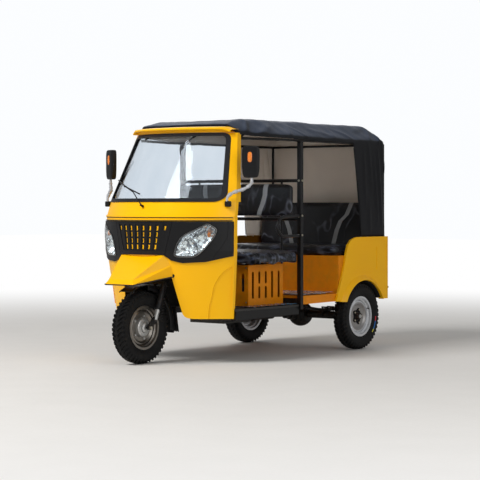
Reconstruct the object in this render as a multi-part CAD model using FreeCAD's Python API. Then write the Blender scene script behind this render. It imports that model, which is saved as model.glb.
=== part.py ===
import FreeCAD, Part
import math
import os

# Auto rickshaw, a three-wheeled passenger vehicle. Millimetres, +Z up, vehicle faces -Y, its left is +X.
# Stations run rearwards from the front axle. Every solid is moved at the end, so that the origin
# lies on the ground under the middle of the vehicle.

V = FreeCAD.Vector

# Wheels and axles
WHEELBASE = 2060.0
REAR_TRACK = 1136.0
TYRE_RADIUS = 272.5
TYRE_WIDTH = 116.0
TREAD_HALF_WIDTH = 47.0
SHOULDER_DROP = 6.5
RIM_SEAT_RADIUS = 152.4
RIM_FLANGE_RADIUS = 166.0
RIM_HALF_WIDTH = 42.0
RIM_WALL = 3.5
HUB_RADIUS = 30.0
FRONT_DRUM_RADIUS = 100.0
FRONT_CONE_RADIUS = 71.0
REAR_DRUM_RADIUS = 92.0
FRONT_STUD_CIRCLE = 88.0
REAR_STUD_CIRCLE = 55.0
STUD_COUNT = 5
STUD_RADIUS = 5.5
NUT_RADIUS = 9.0

# Fork and steering
RAKE_DEGREES = 21.5
AXIS_BEHIND_AXLE = 45.0
FORK_HALF_SPREAD = 88.0
FORK_LEG_RADIUS = 17.0
FORK_BOOT_RADIUS = 23.0
FRONT_AXLE_RADIUS = 8.0
CROWN_UP = 350.0
CROWN_HALF = 14.0
HEAD_TUBE_LOW = 410.0
HEAD_TUBE_HIGH = 600.0
COLUMN_RADIUS = 16.0
COLUMN_TOP = 900.0
MUDGUARD_RADIUS = 322.0
MUDGUARD_WIDTH = 124.0
GUARD_FRONT_ANGLE = -32.0
GUARD_REAR_ANGLE = 100.0
HANDLEBAR_RADIUS = 11.0
HANDLEBAR_HALF_WIDTH = 350.0

# Front body: every plan section is an arc of one radius, so the screen is a leaning cylinder
COWL_HALF_WIDTH = 637.0
PLAN_DEPTH = 340.6
PLAN_RADIUS = (COWL_HALF_WIDTH ** 2 + PLAN_DEPTH ** 2) / (2 * PLAN_DEPTH)
PANEL = 5.0
APRON_BOTTOM = 340.0
MASK_BOTTOM = 760.0
MASK_TOP = 1068.0
GROOVE_HEIGHT = 1106.0
SCREEN_BOTTOM = 1215.0
SCREEN_TOP = 1740.0
# columns: height, half width, station of the panel on the centre line
COWL_SECTIONS = [
    (APRON_BOTTOM, 583.0, 110.0),
    (850.0, 636.0, 0.0),
    (GROOVE_HEIGHT, COWL_HALF_WIDTH, 0.0),
    (SCREEN_BOTTOM, 625.0, 48.0),
    (SCREEN_TOP, 505.0, 351.0),
]
SCREEN_HALF_BOTTOM = 582.0
SCREEN_HALF_TOP = 469.0
SCREEN_CORNER = 60.0
SEAL_WIDTH = 26.0
POST_DEPTH = 30.0
GLASS = 6.0
MASK_PROUD = 11.0

# Body behind the front
FLOOR_HALF_WIDTH = 600.0
FLOOR_FRONT = 392.0
DRIVER_FLOOR = 410.0
PASSENGER_FLOOR = 475.0
PLATE = 15.0
FLOOR_DEPTH = 20.0
PILLAR_STATION = 1220.0
POST_SIDE = 35.0
BODY_HALF_WIDTH = 620.0
BODY_TOP = 928.0
BODY_BOTTOM = 405.0
REAR_OVERHANG = 410.0
REAR_FACE = WHEELBASE + REAR_OVERHANG
ARCH_RADIUS = 300.0
ARCH_BEHIND_AXLE = 15.0
ARCH_LIP = 40.0
LAMP_PROUD = 14.0

# Canopy
EAVE = 1690.0
CANOPY_HALF_WIDTH = 600.0
CANOPY_WALL = 6.0
HIP_HALF_WIDTH = 400.0
HIP_HEIGHT = 1855.0
ROOF_TOP = 1882.0
BOW_RADIUS = 8.5
RAIL_RADIUS = 10.0
RAIL_HEIGHT = EAVE + RAIL_RADIUS

# Running fits and seats
SEAT_GAP = 0.3
SHAFT_GAP = 0.06

FLOOR_BREAK_FRONT = PILLAR_STATION - POST_SIDE / 2 - SEAT_GAP
FLOOR_BREAK_BACK = PILLAR_STATION + POST_SIDE / 2 + SEAT_GAP
MIDDLE = (REAR_FACE + LAMP_PROUD - TYRE_RADIUS) / 2
OUT = "parts"


def box(x0, x1, y0, y1, z0, z1):
    return Part.makeBox(x1 - x0, y1 - y0, z1 - z0, V(x0, y0, z0))


def rod(start, end, radius):
    """A round bar between two points."""
    start, end = V(*start), V(*end)
    return Part.makeCylinder(radius, (end - start).Length, start, end - start)


def mirrored(shape):
    return shape.mirror(V(0, 0, 0), V(1, 0, 0))


def both(shape):
    """The shape and its mirror image on the other side of the centre plane."""
    return Part.makeCompound([shape, mirrored(shape)])


def fuse(shapes):
    first = shapes[0]
    return first.fuse(list(shapes[1:])).removeSplitter()


def face_of(points):
    return Part.Face(Part.makePolygon([V(*p) for p in points] + [V(*points[0])]))


def side_plate(outline, x0, x1):
    """A plate between two X planes, from its outline of (station, height) points."""
    return face_of([(x0, s, h) for s, h in outline]).extrude(V(x1 - x0, 0, 0))


def front_plate(outline, y0, y1):
    """A plate between two stations, from its outline of (x, height) points."""
    return face_of([(x, y0, h) for x, h in outline]).extrude(V(0, y1 - y0, 0))


def rounded(points, radius):
    """A closed wire through the points, with each corner an arc of the radius."""
    points = [V(*p) for p in points]
    edges, ends = [], []
    for i, corner in enumerate(points):
        before = (points[i - 1] - corner).normalize()
        after = (points[(i + 1) % len(points)] - corner).normalize()
        half = before.getAngle(after) / 2
        run = radius / math.tan(half)
        middle = (before + after).normalize() * (radius / math.sin(half) - radius)
        start, end = corner + before * run, corner + after * run
        edges.append(Part.Arc(start, corner + middle, end).toShape())
        ends.append((start, end))
    for i in range(len(points)):
        edges.append(Part.LineSegment(ends[i - 1][1], ends[i][0]).toShape())
    return Part.Wire(Part.__sortEdges__(edges))


def bent_tube(points, radius, bend):
    """A round tube along straight runs joined by arcs of the bend radius."""
    pts = [V(*p) for p in points]
    edges, last = [], pts[0]
    for i in range(1, len(pts) - 1):
        before = (pts[i - 1] - pts[i]).normalize()
        after = (pts[i + 1] - pts[i]).normalize()
        half = before.getAngle(after) / 2
        run = bend / math.tan(half)
        middle = (before + after).normalize() * (bend / math.sin(half) - bend)
        start, end = pts[i] + before * run, pts[i] + after * run
        edges += [Part.LineSegment(last, start).toShape(), Part.Arc(start, pts[i] + middle, end).toShape()]
        last = end
    edges.append(Part.LineSegment(last, pts[-1]).toShape())
    circle = Part.Wire(Part.makeCircle(radius, pts[0], pts[1] - pts[0]))
    return Part.Wire(edges).makePipeShell([circle], True, True)


def turned(profile, centre_x, station, height):
    """A ring or disc about the X direction, from its profile of (x, radius) points or edges."""
    if isinstance(profile, list):
        face = face_of([(x, 0, r) for x, r in profile])
    else:
        face = profile
    ring = face.revolve(V(0, 0, 0), V(1, 0, 0), 360)
    ring.translate(V(centre_x, station, height))
    return ring


def setback(height):
    """Station of the front panel on the centre line at a height."""
    for low, high in zip(COWL_SECTIONS, COWL_SECTIONS[1:]):
        if height <= high[0]:
            break
    t = (height - low[0]) / (high[0] - low[0])
    return low[2] + t * (high[2] - low[2])


def half_width(height):
    """Half width of the front panel at a height."""
    for low, high in zip(COWL_SECTIONS, COWL_SECTIONS[1:]):
        if height <= high[0]:
            break
    t = (height - low[0]) / (high[0] - low[0])
    return low[1] + t * (high[1] - low[1])


def panel_station(x, height, proud=0.0):
    """Station of the front panel's face at a place across it, proud of it by so much."""
    return setback(height) + PLAN_RADIUS - math.sqrt((PLAN_RADIUS + proud) ** 2 - x * x)


def panel_place(x, height, proud):
    """A point so far out from the front panel's face, along the face's own normal."""
    low = [s for s in COWL_SECTIONS if s[0] <= height][-1]
    high = [s for s in COWL_SECTIONS if s[0] > height][0]
    lean = (high[2] - low[2]) / (high[0] - low[0])
    normal = V(x / math.sqrt(PLAN_RADIUS ** 2 - x * x), -1, lean).normalize()
    return V(x, panel_station(x, height), height) + normal * proud


def arc_band(height, half, outer, inner):
    """Closed outline at one height between two arcs concentric with the panel's plan arc."""
    def arc(proud, side):
        end = panel_station(half, height, proud)
        crown = panel_station(0, height, proud)
        return Part.Arc(V(-side * half, end, height), V(0, crown, height), V(side * half, end, height))
    front, back = arc(outer, 1), arc(inner, -1)
    f_end, b_end = panel_station(half, height, outer), panel_station(half, height, inner)
    right = Part.LineSegment(V(half, f_end, height), V(half, b_end, height))
    left = Part.LineSegment(V(-half, b_end, height), V(-half, f_end, height))
    return Part.Wire([e.toShape() for e in (front, right, back, left)])


def panel_shell(low, high, outer, inner, extra=0.0):
    """The front panel's wall between two heights, from proud `outer` to proud `inner` of its face."""
    heights = [low] + [s[0] for s in COWL_SECTIONS if low < s[0] < high] + [high]
    wires = [arc_band(h, half_width(h) + extra, outer, inner) for h in heights]
    return Part.makeLoft(wires, True, True)


def screen_prism(inset):
    """A cutter along Y with the screen's rounded outline, smaller all round by the inset."""
    lean = (SCREEN_HALF_BOTTOM - SCREEN_HALF_TOP) / (SCREEN_TOP - SCREEN_BOTTOM)
    side = inset * math.sqrt(1 + lean * lean)
    low, high = SCREEN_BOTTOM + inset, SCREEN_TOP - inset
    wide = SCREEN_HALF_BOTTOM - side - lean * inset
    narrow = SCREEN_HALF_TOP - side + lean * inset
    corners = [(-wide, 0, low), (wide, 0, low), (narrow, 0, high), (-narrow, 0, high)]
    wire = rounded(corners, SCREEN_CORNER - inset)
    return Part.Face(wire).extrude(V(0, 900, 0))


# Front body

# columns: half width and height of the opening's edge, from its rounded foot up
OPENING_EDGE = [
    (352, APRON_BOTTOM - 20), (352, APRON_BOTTOM), (330, 342), (309, 347), (292, 358), (282, 376), (237, 664),
    (232, 700),
]
# columns: x and height of the crease across the left apron; outside it the panel is stepped in
APRON_CREASE = [
    (650, 768), (617, 738), (569, 696), (550, 670), (532, 639), (516, 610), (505, 581), (487, 510),
    (465, 439), (449, 348), (447, 330),
]
CREASE_STEP = 6.0
CREASE_WALL = 9.0
EDGE_WIDTH = 8.0
EDGE_DEPTH = 16.0
EDGE_FOOT = DRIVER_FLOOR + 6
FENDER_TIP_STATION = -237.0
FENDER_TIP_HALF = 140.0
FENDER_TIP_LOW = 603.0
FENDER_ROOT_HALF = 258.0
FENDER_SIDE = 90.0
FENDER_ROOT_LOW = 664.0
FENDER_TOP_HALF = 209.0
FENDER_TOP = 814.0
GRILLE_TOP = 1045.0
GRILLE_BOTTOM = 858.0
GRILLE_SLOTS = 8
GRILLE_PITCH_TOP = 63.5
GRILLE_PITCH_BOTTOM = 54.0
GRILLE_SLOT = 26.0
LAMP_OUTLINE = [
    (288, 806), (424, 800), (478, 838), (524, 900), (566, 1010), (515, 1058), (439, 1020), (345, 964),
    (305, 898),
]
LAMP_SURROUND = 9.0
LAMP_FRONT = 20.0
LAMP_BACK = -70.0


def lamp_prism(side, inset=0.0):
    """A cutter along Y with the headlamp's leaf outline, smaller all round by the inset."""
    middle = V(sum(p[0] for p in LAMP_OUTLINE) / len(LAMP_OUTLINE), 0,
               sum(p[1] for p in LAMP_OUTLINE) / len(LAMP_OUTLINE))
    points = []
    for x, h in LAMP_OUTLINE:
        p = V(x, 0, h)
        q = p + (middle - p).normalize() * inset
        points.append((side * q.x, -60, q.z))
    return face_of(points).extrude(V(0, 700, 0))


def across_front(outline):
    """A cutter right through the front, from its outline of (x, height) points."""
    return front_plate(outline, -100, 500)


def creased(skin):
    """The skin with its outer part stepped in behind the crease, on the left side."""
    outside = across_front(APRON_CREASE + [(700, 330), (700, 768)])
    inner_side = [(x - CREASE_WALL, h) for x, h in reversed(APRON_CREASE)]
    back = -CREASE_STEP - PANEL
    stepped = panel_shell(APRON_BOTTOM, MASK_BOTTOM + 40, -CREASE_STEP, back).common(outside)
    wall = panel_shell(APRON_BOTTOM, MASK_BOTTOM + 40, 0, back)
    wall = wall.common(across_front(APRON_CREASE + inner_side))
    return fuse([skin.cut(outside), stepped, wall])


def front_cowl():
    skin = creased(panel_shell(APRON_BOTTOM, SCREEN_BOTTOM, 0, -PANEL))
    skin = mirrored(creased(mirrored(skin)))
    edge = panel_shell(EDGE_FOOT, SCREEN_BOTTOM, 0, -EDGE_DEPTH)
    edge = edge.cut(panel_shell(EDGE_FOOT - 1, SCREEN_BOTTOM + 1, 5, -EDGE_DEPTH - 5, -EDGE_WIDTH))
    frame = panel_shell(SCREEN_BOTTOM, SCREEN_TOP, 0, -POST_DEPTH)
    cowl = fuse([skin, edge, frame])
    cowl = cowl.cut(screen_prism(8.0))
    opening = OPENING_EDGE + [(-x, h) for x, h in reversed(OPENING_EDGE)]
    cowl = cowl.cut(across_front(opening))
    for side in (1, -1):
        cowl = cowl.cut(lamp_prism(side, LAMP_SURROUND - SEAT_GAP))
    lip = Part.makeLoft([
        arc_band(GROOVE_HEIGHT - 4, half_width(GROOVE_HEIGHT), 7, 0),
        arc_band(GROOVE_HEIGHT + 8, half_width(GROOVE_HEIGHT), 7, 0)], True, True)
    return fuse([cowl, lip])


def grille_slot(index):
    """One tapering slot of the grille, as a cutter along Y. Index counts from the left end."""
    place = index - (GRILLE_SLOTS - 1) / 2
    top, low = place * GRILLE_PITCH_TOP, place * GRILLE_PITCH_BOTTOM
    bottom = GRILLE_BOTTOM
    if index in (0, GRILLE_SLOTS - 1):
        bottom = GRILLE_TOP - 40
        low = top + (low - top) * (GRILLE_TOP - bottom) / (GRILLE_TOP - GRILLE_BOTTOM)
    half = GRILLE_SLOT / 2
    outline = [(low - half, bottom), (low + half, bottom), (top + half, GRILLE_TOP), (top - half, GRILLE_TOP)]
    return front_plate(outline, -80, 200)


# columns: x and height of points on the left half of the mask
MASK_SEAM = [(280, MASK_TOP + 2), (219, 816)]
GRILLE_FRAME = [(246, 1063), (174, 851)]
MASK_CREASE = [(616, MASK_TOP + 5), (612, 1059), (608, 951), (578, 876), (549, 827), (530, 790)]
MASK_CARVING = 3.0
SEAM_HALF = 1.5


def mask_carving():
    """Cut from the mask's face: a seam each side, the grille's field, the outer steps, the lamp rims."""
    (top_x, top), (low_x, low) = MASK_SEAM
    half = SEAM_HALF
    seam = [(top_x - half, top), (top_x + half, top), (low_x + half, low), (low_x - half, low)]
    outer = MASK_CREASE + [(700, 790), (700, MASK_TOP + 5)]
    field = GRILLE_FRAME + [(-x, h) for x, h in reversed(GRILLE_FRAME)]
    shapes = [across_front(field)]
    for outline in (seam, outer):
        shapes += [across_front(outline), mirrored(across_front(outline))]
    shapes += [lamp_prism(side) for side in (1, -1)]
    layer = panel_shell(MASK_BOTTOM - 20, MASK_TOP + 10, MASK_PROUD + 5, MASK_PROUD - MASK_CARVING, 20)
    return [shape.common(layer) for shape in shapes]


def front_mask():
    mask = panel_shell(MASK_BOTTOM - 10, MASK_TOP, MASK_PROUD, SEAT_GAP, -4.0)
    right = [(700, 815), (632, 812), (484, 768), (340, MASK_BOTTOM), (261, 778), (209, 819)]
    below = [(-700, 700), (700, 700)] + right + [(-x, h) for x, h in reversed(right)]
    mask = mask.cut(across_front(below))
    for index in range(GRILLE_SLOTS):
        mask = mask.cut(grille_slot(index))
    for shape in mask_carving():
        mask = mask.cut(shape)
    for side in (1, -1):
        mask = mask.cut(lamp_prism(side, LAMP_SURROUND - SEAT_GAP))
    return mask


def headlamp(side):
    body = panel_shell(780, 1070, LAMP_FRONT, LAMP_BACK)
    return body.common(lamp_prism(side, LAMP_SURROUND))


def front_fender():
    """The beak over the front tyre: a faceted hood, open below, that ends against the panel."""
    def section(drop, shrink):
        tip = FENDER_TIP_STATION + shrink
        tip_half, root_half = FENDER_TIP_HALF - shrink, FENDER_ROOT_HALF - shrink
        top_half = FENDER_TOP_HALF - shrink
        tip_low, root_low, top = FENDER_TIP_LOW - drop, FENDER_ROOT_LOW - drop, FENDER_TOP - shrink
        back = 100.0
        brow_half, brow = tip_half * 0.84, tip_low + 36 - shrink * 0.4 + drop
        side_top = root_low + FENDER_SIDE + drop - shrink
        return [
            V(-tip_half, tip, tip_low), V(tip_half, tip, tip_low), V(root_half, back, root_low),
            V(-root_half, back, root_low), V(-brow_half, tip + 17, brow), V(brow_half, tip + 17, brow),
            V(top_half, 20 + shrink, top), V(-top_half, 20 + shrink, top), V(root_half, back, side_top),
            V(-root_half, back, side_top), V(top_half, back, top), V(-top_half, back, top)]

    def hood(p):
        faces = [(0, 1, 2, 3), (0, 1, 5, 4), (4, 5, 6, 7), (1, 2, 8), (1, 8, 5), (5, 8, 6), (0, 9, 3),
                 (0, 4, 9), (4, 7, 9), (6, 8, 10), (7, 11, 9), (6, 10, 11, 7), (2, 3, 9, 11, 10, 8)]
        sides = [Part.Face(Part.makePolygon([p[i] for i in f] + [p[f[0]]])) for f in faces]
        return Part.makeSolid(Part.makeShell(sides))
    hood_shape = hood(section(0.0, 0.0)).cut(hood(section(30.0, PANEL)))
    behind = panel_shell(500, 900, SEAT_GAP, -110, -200)
    return hood_shape.cut(behind)


def windshield_seal():
    band = panel_shell(SCREEN_BOTTOM - 40, SCREEN_TOP, 6, -POST_DEPTH)
    ring = band.common(screen_prism(0)).cut(screen_prism(SEAL_WIDTH))
    groove = panel_shell(SCREEN_BOTTOM - 60, SCREEN_TOP, SEAT_GAP, -POST_DEPTH - 10, 20).cut(
        screen_prism(8.0 + SEAT_GAP))
    pane = panel_shell(SCREEN_BOTTOM - 60, SCREEN_TOP, -8 + SEAT_GAP, -8 - GLASS - SEAT_GAP, 20).common(
        screen_prism(SEAL_WIDTH - 12 - SEAT_GAP))
    return ring.cut(groove).cut(pane)


def windshield_glass():
    pane = panel_shell(SCREEN_BOTTOM - 60, SCREEN_TOP, -8, -8 - GLASS, 20)
    return pane.common(screen_prism(SEAL_WIDTH - 12))


VISOR_REACH = 45.0
VISOR_HEIGHT = 38.0
VISOR_BACK = 560.0


def roof_visor():
    """A yellow lip over the screen, from the screen frame's top back under the canopy."""
    low = arc_band(SCREEN_TOP + SEAT_GAP, 492, VISOR_REACH, -POST_DEPTH)
    high = arc_band(SCREEN_TOP, 470, VISOR_REACH - 28, -POST_DEPTH - 120)
    high.translate(V(0, 0, VISOR_HEIGHT))
    lip = Part.makeLoft([low, high], True, True)
    return lip.common(box(-600, 600, 200, VISOR_BACK, 1700, 1900))


WIPER_PIVOT_HEIGHT = 1180.0


def wiper():
    def on_panel(x, height, proud):
        return (x, panel_station(x, height, proud), height)
    pivot = rod(panel_place(0, WIPER_PIVOT_HEIGHT, 2 * SEAT_GAP), panel_place(0, WIPER_PIVOT_HEIGHT, 32), 9)
    arm = bent_tube([panel_place(0, WIPER_PIVOT_HEIGHT, 26), on_panel(-140, 1290, 26),
                     on_panel(-290, 1333, 15)], 4, 60)
    blade_points = [(-70, 1275), (-290, 1332), (-500, 1385)]
    blade = bent_tube([on_panel(x, h, 13) for x, h in blade_points], 5, 900)
    joint = rod(on_panel(-290, 1333, 24), on_panel(-290, 1333, 4), 6)
    return fuse([pivot, arm, joint, blade])


MIRROR_CENTRE = (700.0, 450.0, 1520.0)
MIRROR_WIDTH = 140.0
MIRROR_HEIGHT = 235.0
MIRROR_DEPTH = 52.0


def mirror():
    """The left mirror: rounded head, bent arm and the clamp on the cowl."""
    cx, cy, cz = MIRROR_CENTRE
    half, tall = MIRROR_WIDTH / 2, MIRROR_HEIGHT / 2

    def outline(station, shrink, corner):
        w, h = half - shrink, tall - shrink
        corners = ((-1, -1), (1, -1), (1, 1), (-1, 1))
        return rounded([(cx + a * w, station, cz + b * h) for a, b in corners], corner)
    front, back = cy - MIRROR_DEPTH / 2, cy + MIRROR_DEPTH / 2
    head = Part.makeLoft([outline(front, 16, 26), outline(front + 14, 3, 36), outline(back - 6, 0, 38),
                          outline(back, 3, 36)], True, True)
    foot_height = 1200.0
    start = panel_place(600, foot_height, 2 * SEAT_GAP)
    knee = panel_place(600, foot_height, 26)
    clamp = rod(start, panel_place(600, foot_height, 36), 17)
    arm = bent_tube([(knee.x, knee.y, knee.z), (knee.x, knee.y, 1248), (665, 400, 1292), (cx + 8, cy, 1345),
                     (cx + 8, cy, cz - tall + 12)], 9, 24)
    return fuse([head, clamp, arm])


def dashboard():
    shelf = panel_shell(1150, 1180, -PANEL - SEAT_GAP, -92, -40)
    pod = rounded([(-90, 95, 1180), (90, 95, 1180), (90, 150, 1180), (-90, 150, 1180)], 20)
    return fuse([shelf, Part.Face(pod).extrude(V(0, 10, 45))])


# Driver's area

SEAT_BOX_FRONT = 745.0
SEAT_BOX_HALF = 450.0
SEAT_BOX_TOP = 728.0
SHEET = 3.0
# columns: station of a slot on the seat box's side, whether a bar splits it
SIDE_SLOTS = [(804.0, False), (886.0, True), (970.0, True), (1052.0, False), (1138.0, False)]
SIDE_SLOT_LOW = 466.0
SIDE_SLOT_HIGH = 676.0
SLOT_WIDTH = 26.0
ENGINE_HALF = 170.0
ENGINE_FRONT = 795.0
ENGINE_BACK = 1145.0
ENGINE_LOW = 262.0
ENGINE_HIGH = 600.0
GEARBOX_OUTLET = 300.0
SILL_WIDTH = 55.0


def driver_floor():
    half = FLOOR_HALF_WIDTH
    plate = box(-half, half, FLOOR_FRONT, FLOOR_BREAK_FRONT, DRIVER_FLOOR - PLATE, DRIVER_FLOOR)
    front_notch = box(-330, 330, 300, 510, 300, 500)
    engine_hole = box(-ENGINE_HALF - 30, ENGINE_HALF + 30, ENGINE_FRONT - 30, ENGINE_BACK + 30, 300, 500)
    return plate.cut(front_notch).cut(engine_hole)


def side_sills():
    top = DRIVER_FLOOR - PLATE - SEAT_GAP
    sill = side_plate([(400, 325), (FLOOR_BREAK_FRONT, 335), (FLOOR_BREAK_FRONT, top), (400, top)],
                      FLOOR_HALF_WIDTH - SILL_WIDTH, FLOOR_HALF_WIDTH)
    return both(sill)


def slot_cutter(start, across, low, high):
    """A round-ended upright slot: start is its middle at mid depth, across its depth direction."""
    half = SLOT_WIDTH / 2
    along = V(0, 0, 1).cross(across)
    c_low, c_high = start + V(0, 0, low + half), start + V(0, 0, high - half)
    depth = across * 30
    bars = [Part.makeCylinder(half, 60, c - depth, across) for c in (c_low, c_high)]
    a, b = c_low - depth - along * half, c_low - depth + along * half
    c, d = c_high - depth + along * half, c_high - depth - along * half
    slab = Part.Face(Part.makePolygon([a, b, c, d, a])).extrude(across * 60)
    return fuse(bars + [slab])


def driver_seat_box():
    low, top, back = DRIVER_FLOOR, SEAT_BOX_TOP, PILLAR_STATION - 25
    outer = box(-SEAT_BOX_HALF, SEAT_BOX_HALF, SEAT_BOX_FRONT, back, low, top)
    inside = SEAT_BOX_HALF - SHEET
    inner = box(-inside, inside, SEAT_BOX_FRONT + SHEET, back - SHEET, low - 9, top - SHEET)
    shell = outer.cut(inner)
    middle = (SIDE_SLOT_LOW + SIDE_SLOT_HIGH) / 2
    for station, split in SIDE_SLOTS:
        spans = [(SIDE_SLOT_LOW, SIDE_SLOT_HIGH)]
        if split:
            spans = [(SIDE_SLOT_LOW, middle - 10), (middle + 10, SIDE_SLOT_HIGH)]
        for side in (1, -1):
            for span in spans:
                shell = shell.cut(slot_cutter(V(side * SEAT_BOX_HALF, station, 0), V(1, 0, 0), *span))
    for side in (1, -1):
        shell = shell.cut(slot_cutter(V(side * 398, SEAT_BOX_FRONT, 0), V(0, 1, 0), 522, 663))
    return shell


def driver_cushion():
    seat = box(-490, 490, 690, PILLAR_STATION - 30, SEAT_BOX_TOP + SEAT_GAP, 838)
    return seat.makeFillet(28, [e for e in seat.Edges if e.BoundBox.ZMin > 830])


def engine_block():
    return box(-ENGINE_HALF, ENGINE_HALF, ENGINE_FRONT, ENGINE_BACK, ENGINE_LOW, ENGINE_HIGH)


def foot_brake():
    pedal = box(150, 210, 545, 553, 470, 520)
    lever = rod((180, 553, 495), (180, 600, DRIVER_FLOOR + 30), 7)
    foot = box(160, 200, 585, 625, DRIVER_FLOOR, DRIVER_FLOOR + 40)
    return fuse([pedal, lever, foot])


# Partition and side posts

UPPER_BAR = 1384.0
LOWER_BAR = 1081.0
BAR_RADIUS = 13.0
STAY_RADIUS = 9.0
STAY_X = 420.0


def side_posts():
    half = POST_SIDE / 2
    x = FLOOR_HALF_WIDTH
    post = box(x - half, x + half, PILLAR_STATION - half, PILLAR_STATION + half, 372, EAVE - SEAT_GAP)
    loop = bent_tube([(x, PILLAR_STATION - half, 1111), (x, 955, 1092), (x, 905, 1010), (x, 975, 948),
                      (x, PILLAR_STATION - half, 950)], 12, 38)
    return both(fuse([post, loop]))


def partition_frame():
    end = FLOOR_HALF_WIDTH - POST_SIDE / 2
    bars = [rod((-end, PILLAR_STATION, h), (end, PILLAR_STATION, h), BAR_RADIUS)
            for h in (LOWER_BAR, UPPER_BAR)]
    stays = [rod((x, PILLAR_STATION, REAR_RAIL_TOP), (x, PILLAR_STATION, UPPER_BAR), STAY_RADIUS)
             for x in (STAY_X, -STAY_X)]
    return fuse(bars + stays)


def driver_backrest():
    bar = BAR_RADIUS + SEAT_GAP
    back = PILLAR_STATION - STAY_RADIUS - SEAT_GAP
    pad = box(-565, 565, PILLAR_STATION - 70, back, LOWER_BAR + bar, UPPER_BAR - bar)
    return pad.makeFillet(20, [e for e in pad.Edges if e.BoundBox.YMax < PILLAR_STATION - 40])


# Passenger area

BENCH_FRONT = WHEELBASE - 310
BENCH_TOP = 780.0
BENCH_BACK = REAR_FACE - 140
WELL_HALF = 485.0


def wheel_well(extra):
    """Cutter round one rear wheel, larger than the arch opening by the extra."""
    inner_end = V(WELL_HALF - extra, WHEELBASE + ARCH_BEHIND_AXLE, TYRE_RADIUS)
    return Part.makeCylinder(ARCH_RADIUS + extra, 300, inner_end, V(1, 0, 0))


def passenger_floor():
    half, under = FLOOR_HALF_WIDTH, PASSENGER_FLOOR - FLOOR_DEPTH
    plate = box(-half, half, FLOOR_BREAK_BACK, REAR_FACE - 12, under, PASSENGER_FLOOR)
    skirt = side_plate([(FLOOR_BREAK_BACK, 408), (QUARTER_TOE - 6, 412), (QUARTER_TOE - 6, under),
                        (FLOOR_BREAK_BACK, under)], half - PANEL, half)
    floor = fuse([plate, skirt, mirrored(skirt)])
    well = wheel_well(PANEL)
    return floor.cut(well).cut(mirrored(well))


def bench_base():
    half = FLOOR_HALF_WIDTH
    outer = box(-half, half, BENCH_FRONT, BENCH_BACK, PASSENGER_FLOOR, BENCH_TOP)
    inside, low = half - SHEET, PASSENGER_FLOOR - 9
    inner = box(-inside, inside, BENCH_FRONT + SHEET, BENCH_BACK - SHEET, low, BENCH_TOP - SHEET)
    well = wheel_well(PANEL)
    shell = outer.cut(inner).cut(well).cut(mirrored(well))
    arch = wheel_well(PANEL).cut(wheel_well(0))
    arch = arch.common(box(WELL_HALF - PANEL, half, BENCH_FRONT - 50, REAR_FACE, PASSENGER_FLOOR, 1000))
    return fuse([shell, arch, mirrored(arch)])


def passenger_cushion():
    seat = box(-585, 585, BENCH_FRONT - 28, BENCH_BACK - 120, BENCH_TOP + SEAT_GAP, 862)
    return seat.makeFillet(26, [e for e in seat.Edges if e.BoundBox.ZMin > 850])


def passenger_backrest():
    foot = BENCH_TOP + SEAT_GAP
    front, back = BENCH_BACK - 118, BENCH_BACK - 12
    pad = side_plate([(front, foot), (front + 26, 1232), (back, 1232), (back, foot)], -585, 585)
    return pad.makeFillet(20, [e for e in pad.Edges if e.BoundBox.ZMin > 1220])


# columns: distance ahead of the rear axle, height of the quarter panel's front edge, from the floor up
QUARTER_EDGE = [(346.0, 459.0), (299.0, 572.0), (245.0, 718.0), (221.0, 812.0), (198.0, 866.0),
                (155.0, 905.0), (77.0, BODY_TOP)]
QUARTER_TOE = WHEELBASE - QUARTER_EDGE[0][0]
QUARTER_DEPTH = 18.0
LIP_PROUD = 30.0
# columns: distance ahead of the rear face, height of the panel's sunk fields, the second inside the first
SUNK_FIELD = [(568.0, 640.0), (545.0, 760.0), (515.0, 850.0), (480.0, 884.0), (420.0, 897.0), (34.0, 897.0),
              (34.0, 640.0)]
SUNK_PANEL = [(485.0, 660.0), (485.0, 843.0), (175.0, 843.0), (175.0, 660.0)]
SUNK_DEPTH = 2.5


def rear_quarter():
    """The left rear quarter panel with its arch, arch lip and turned-in edges."""
    edge = [(WHEELBASE - ahead, height) for ahead, height in QUARTER_EDGE]
    outline = [(QUARTER_TOE - 24, BODY_BOTTOM + 6)] + edge
    outline += [(REAR_FACE, BODY_TOP), (REAR_FACE, BODY_BOTTOM)]
    x1 = BODY_HALF_WIDTH
    panel = side_plate(outline, x1 - QUARTER_DEPTH, x1)
    corner = [e for e in panel.Edges if e.BoundBox.YMin > REAR_FACE - 1 and e.BoundBox.ZLength > 100
              and e.BoundBox.XMin > x1 - 1]
    panel = panel.makeFillet(QUARTER_DEPTH - 2, corner)
    for depth, field in ((SUNK_DEPTH, SUNK_FIELD), (2 * SUNK_DEPTH, SUNK_PANEL)):
        panel = panel.cut(side_plate([(REAR_FACE - ahead, h) for ahead, h in field], x1 - depth, x1 + 5))
    axle = (WHEELBASE + ARCH_BEHIND_AXLE, TYRE_RADIUS)
    mouth, crest, inner = ARCH_RADIUS, ARCH_RADIUS + ARCH_LIP, -QUARTER_DEPTH
    section = [(inner, mouth), (LIP_PROUD, mouth), (LIP_PROUD, mouth + 6), (0, crest), (inner, crest)]
    lip = turned(section, x1, *axle)
    lip = lip.common(box(0, 800, QUARTER_TOE - 100, REAR_FACE - 6, BODY_BOTTOM, 1000))
    hole = Part.makeCylinder(ARCH_RADIUS, 200, V(x1 - 100, *axle), V(1, 0, 0))
    return fuse([panel, lip]).cut(hole)


PLATE_SPACING = 180.0
PLATE_HEIGHT = 720.0
PLATE_HOLE_RADIUS = 3.5
HATCH_HALF = 340.0
HATCH_LOW = 560.0
HATCH_HIGH = 880.0
HATCH_RIB = 24.0


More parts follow.
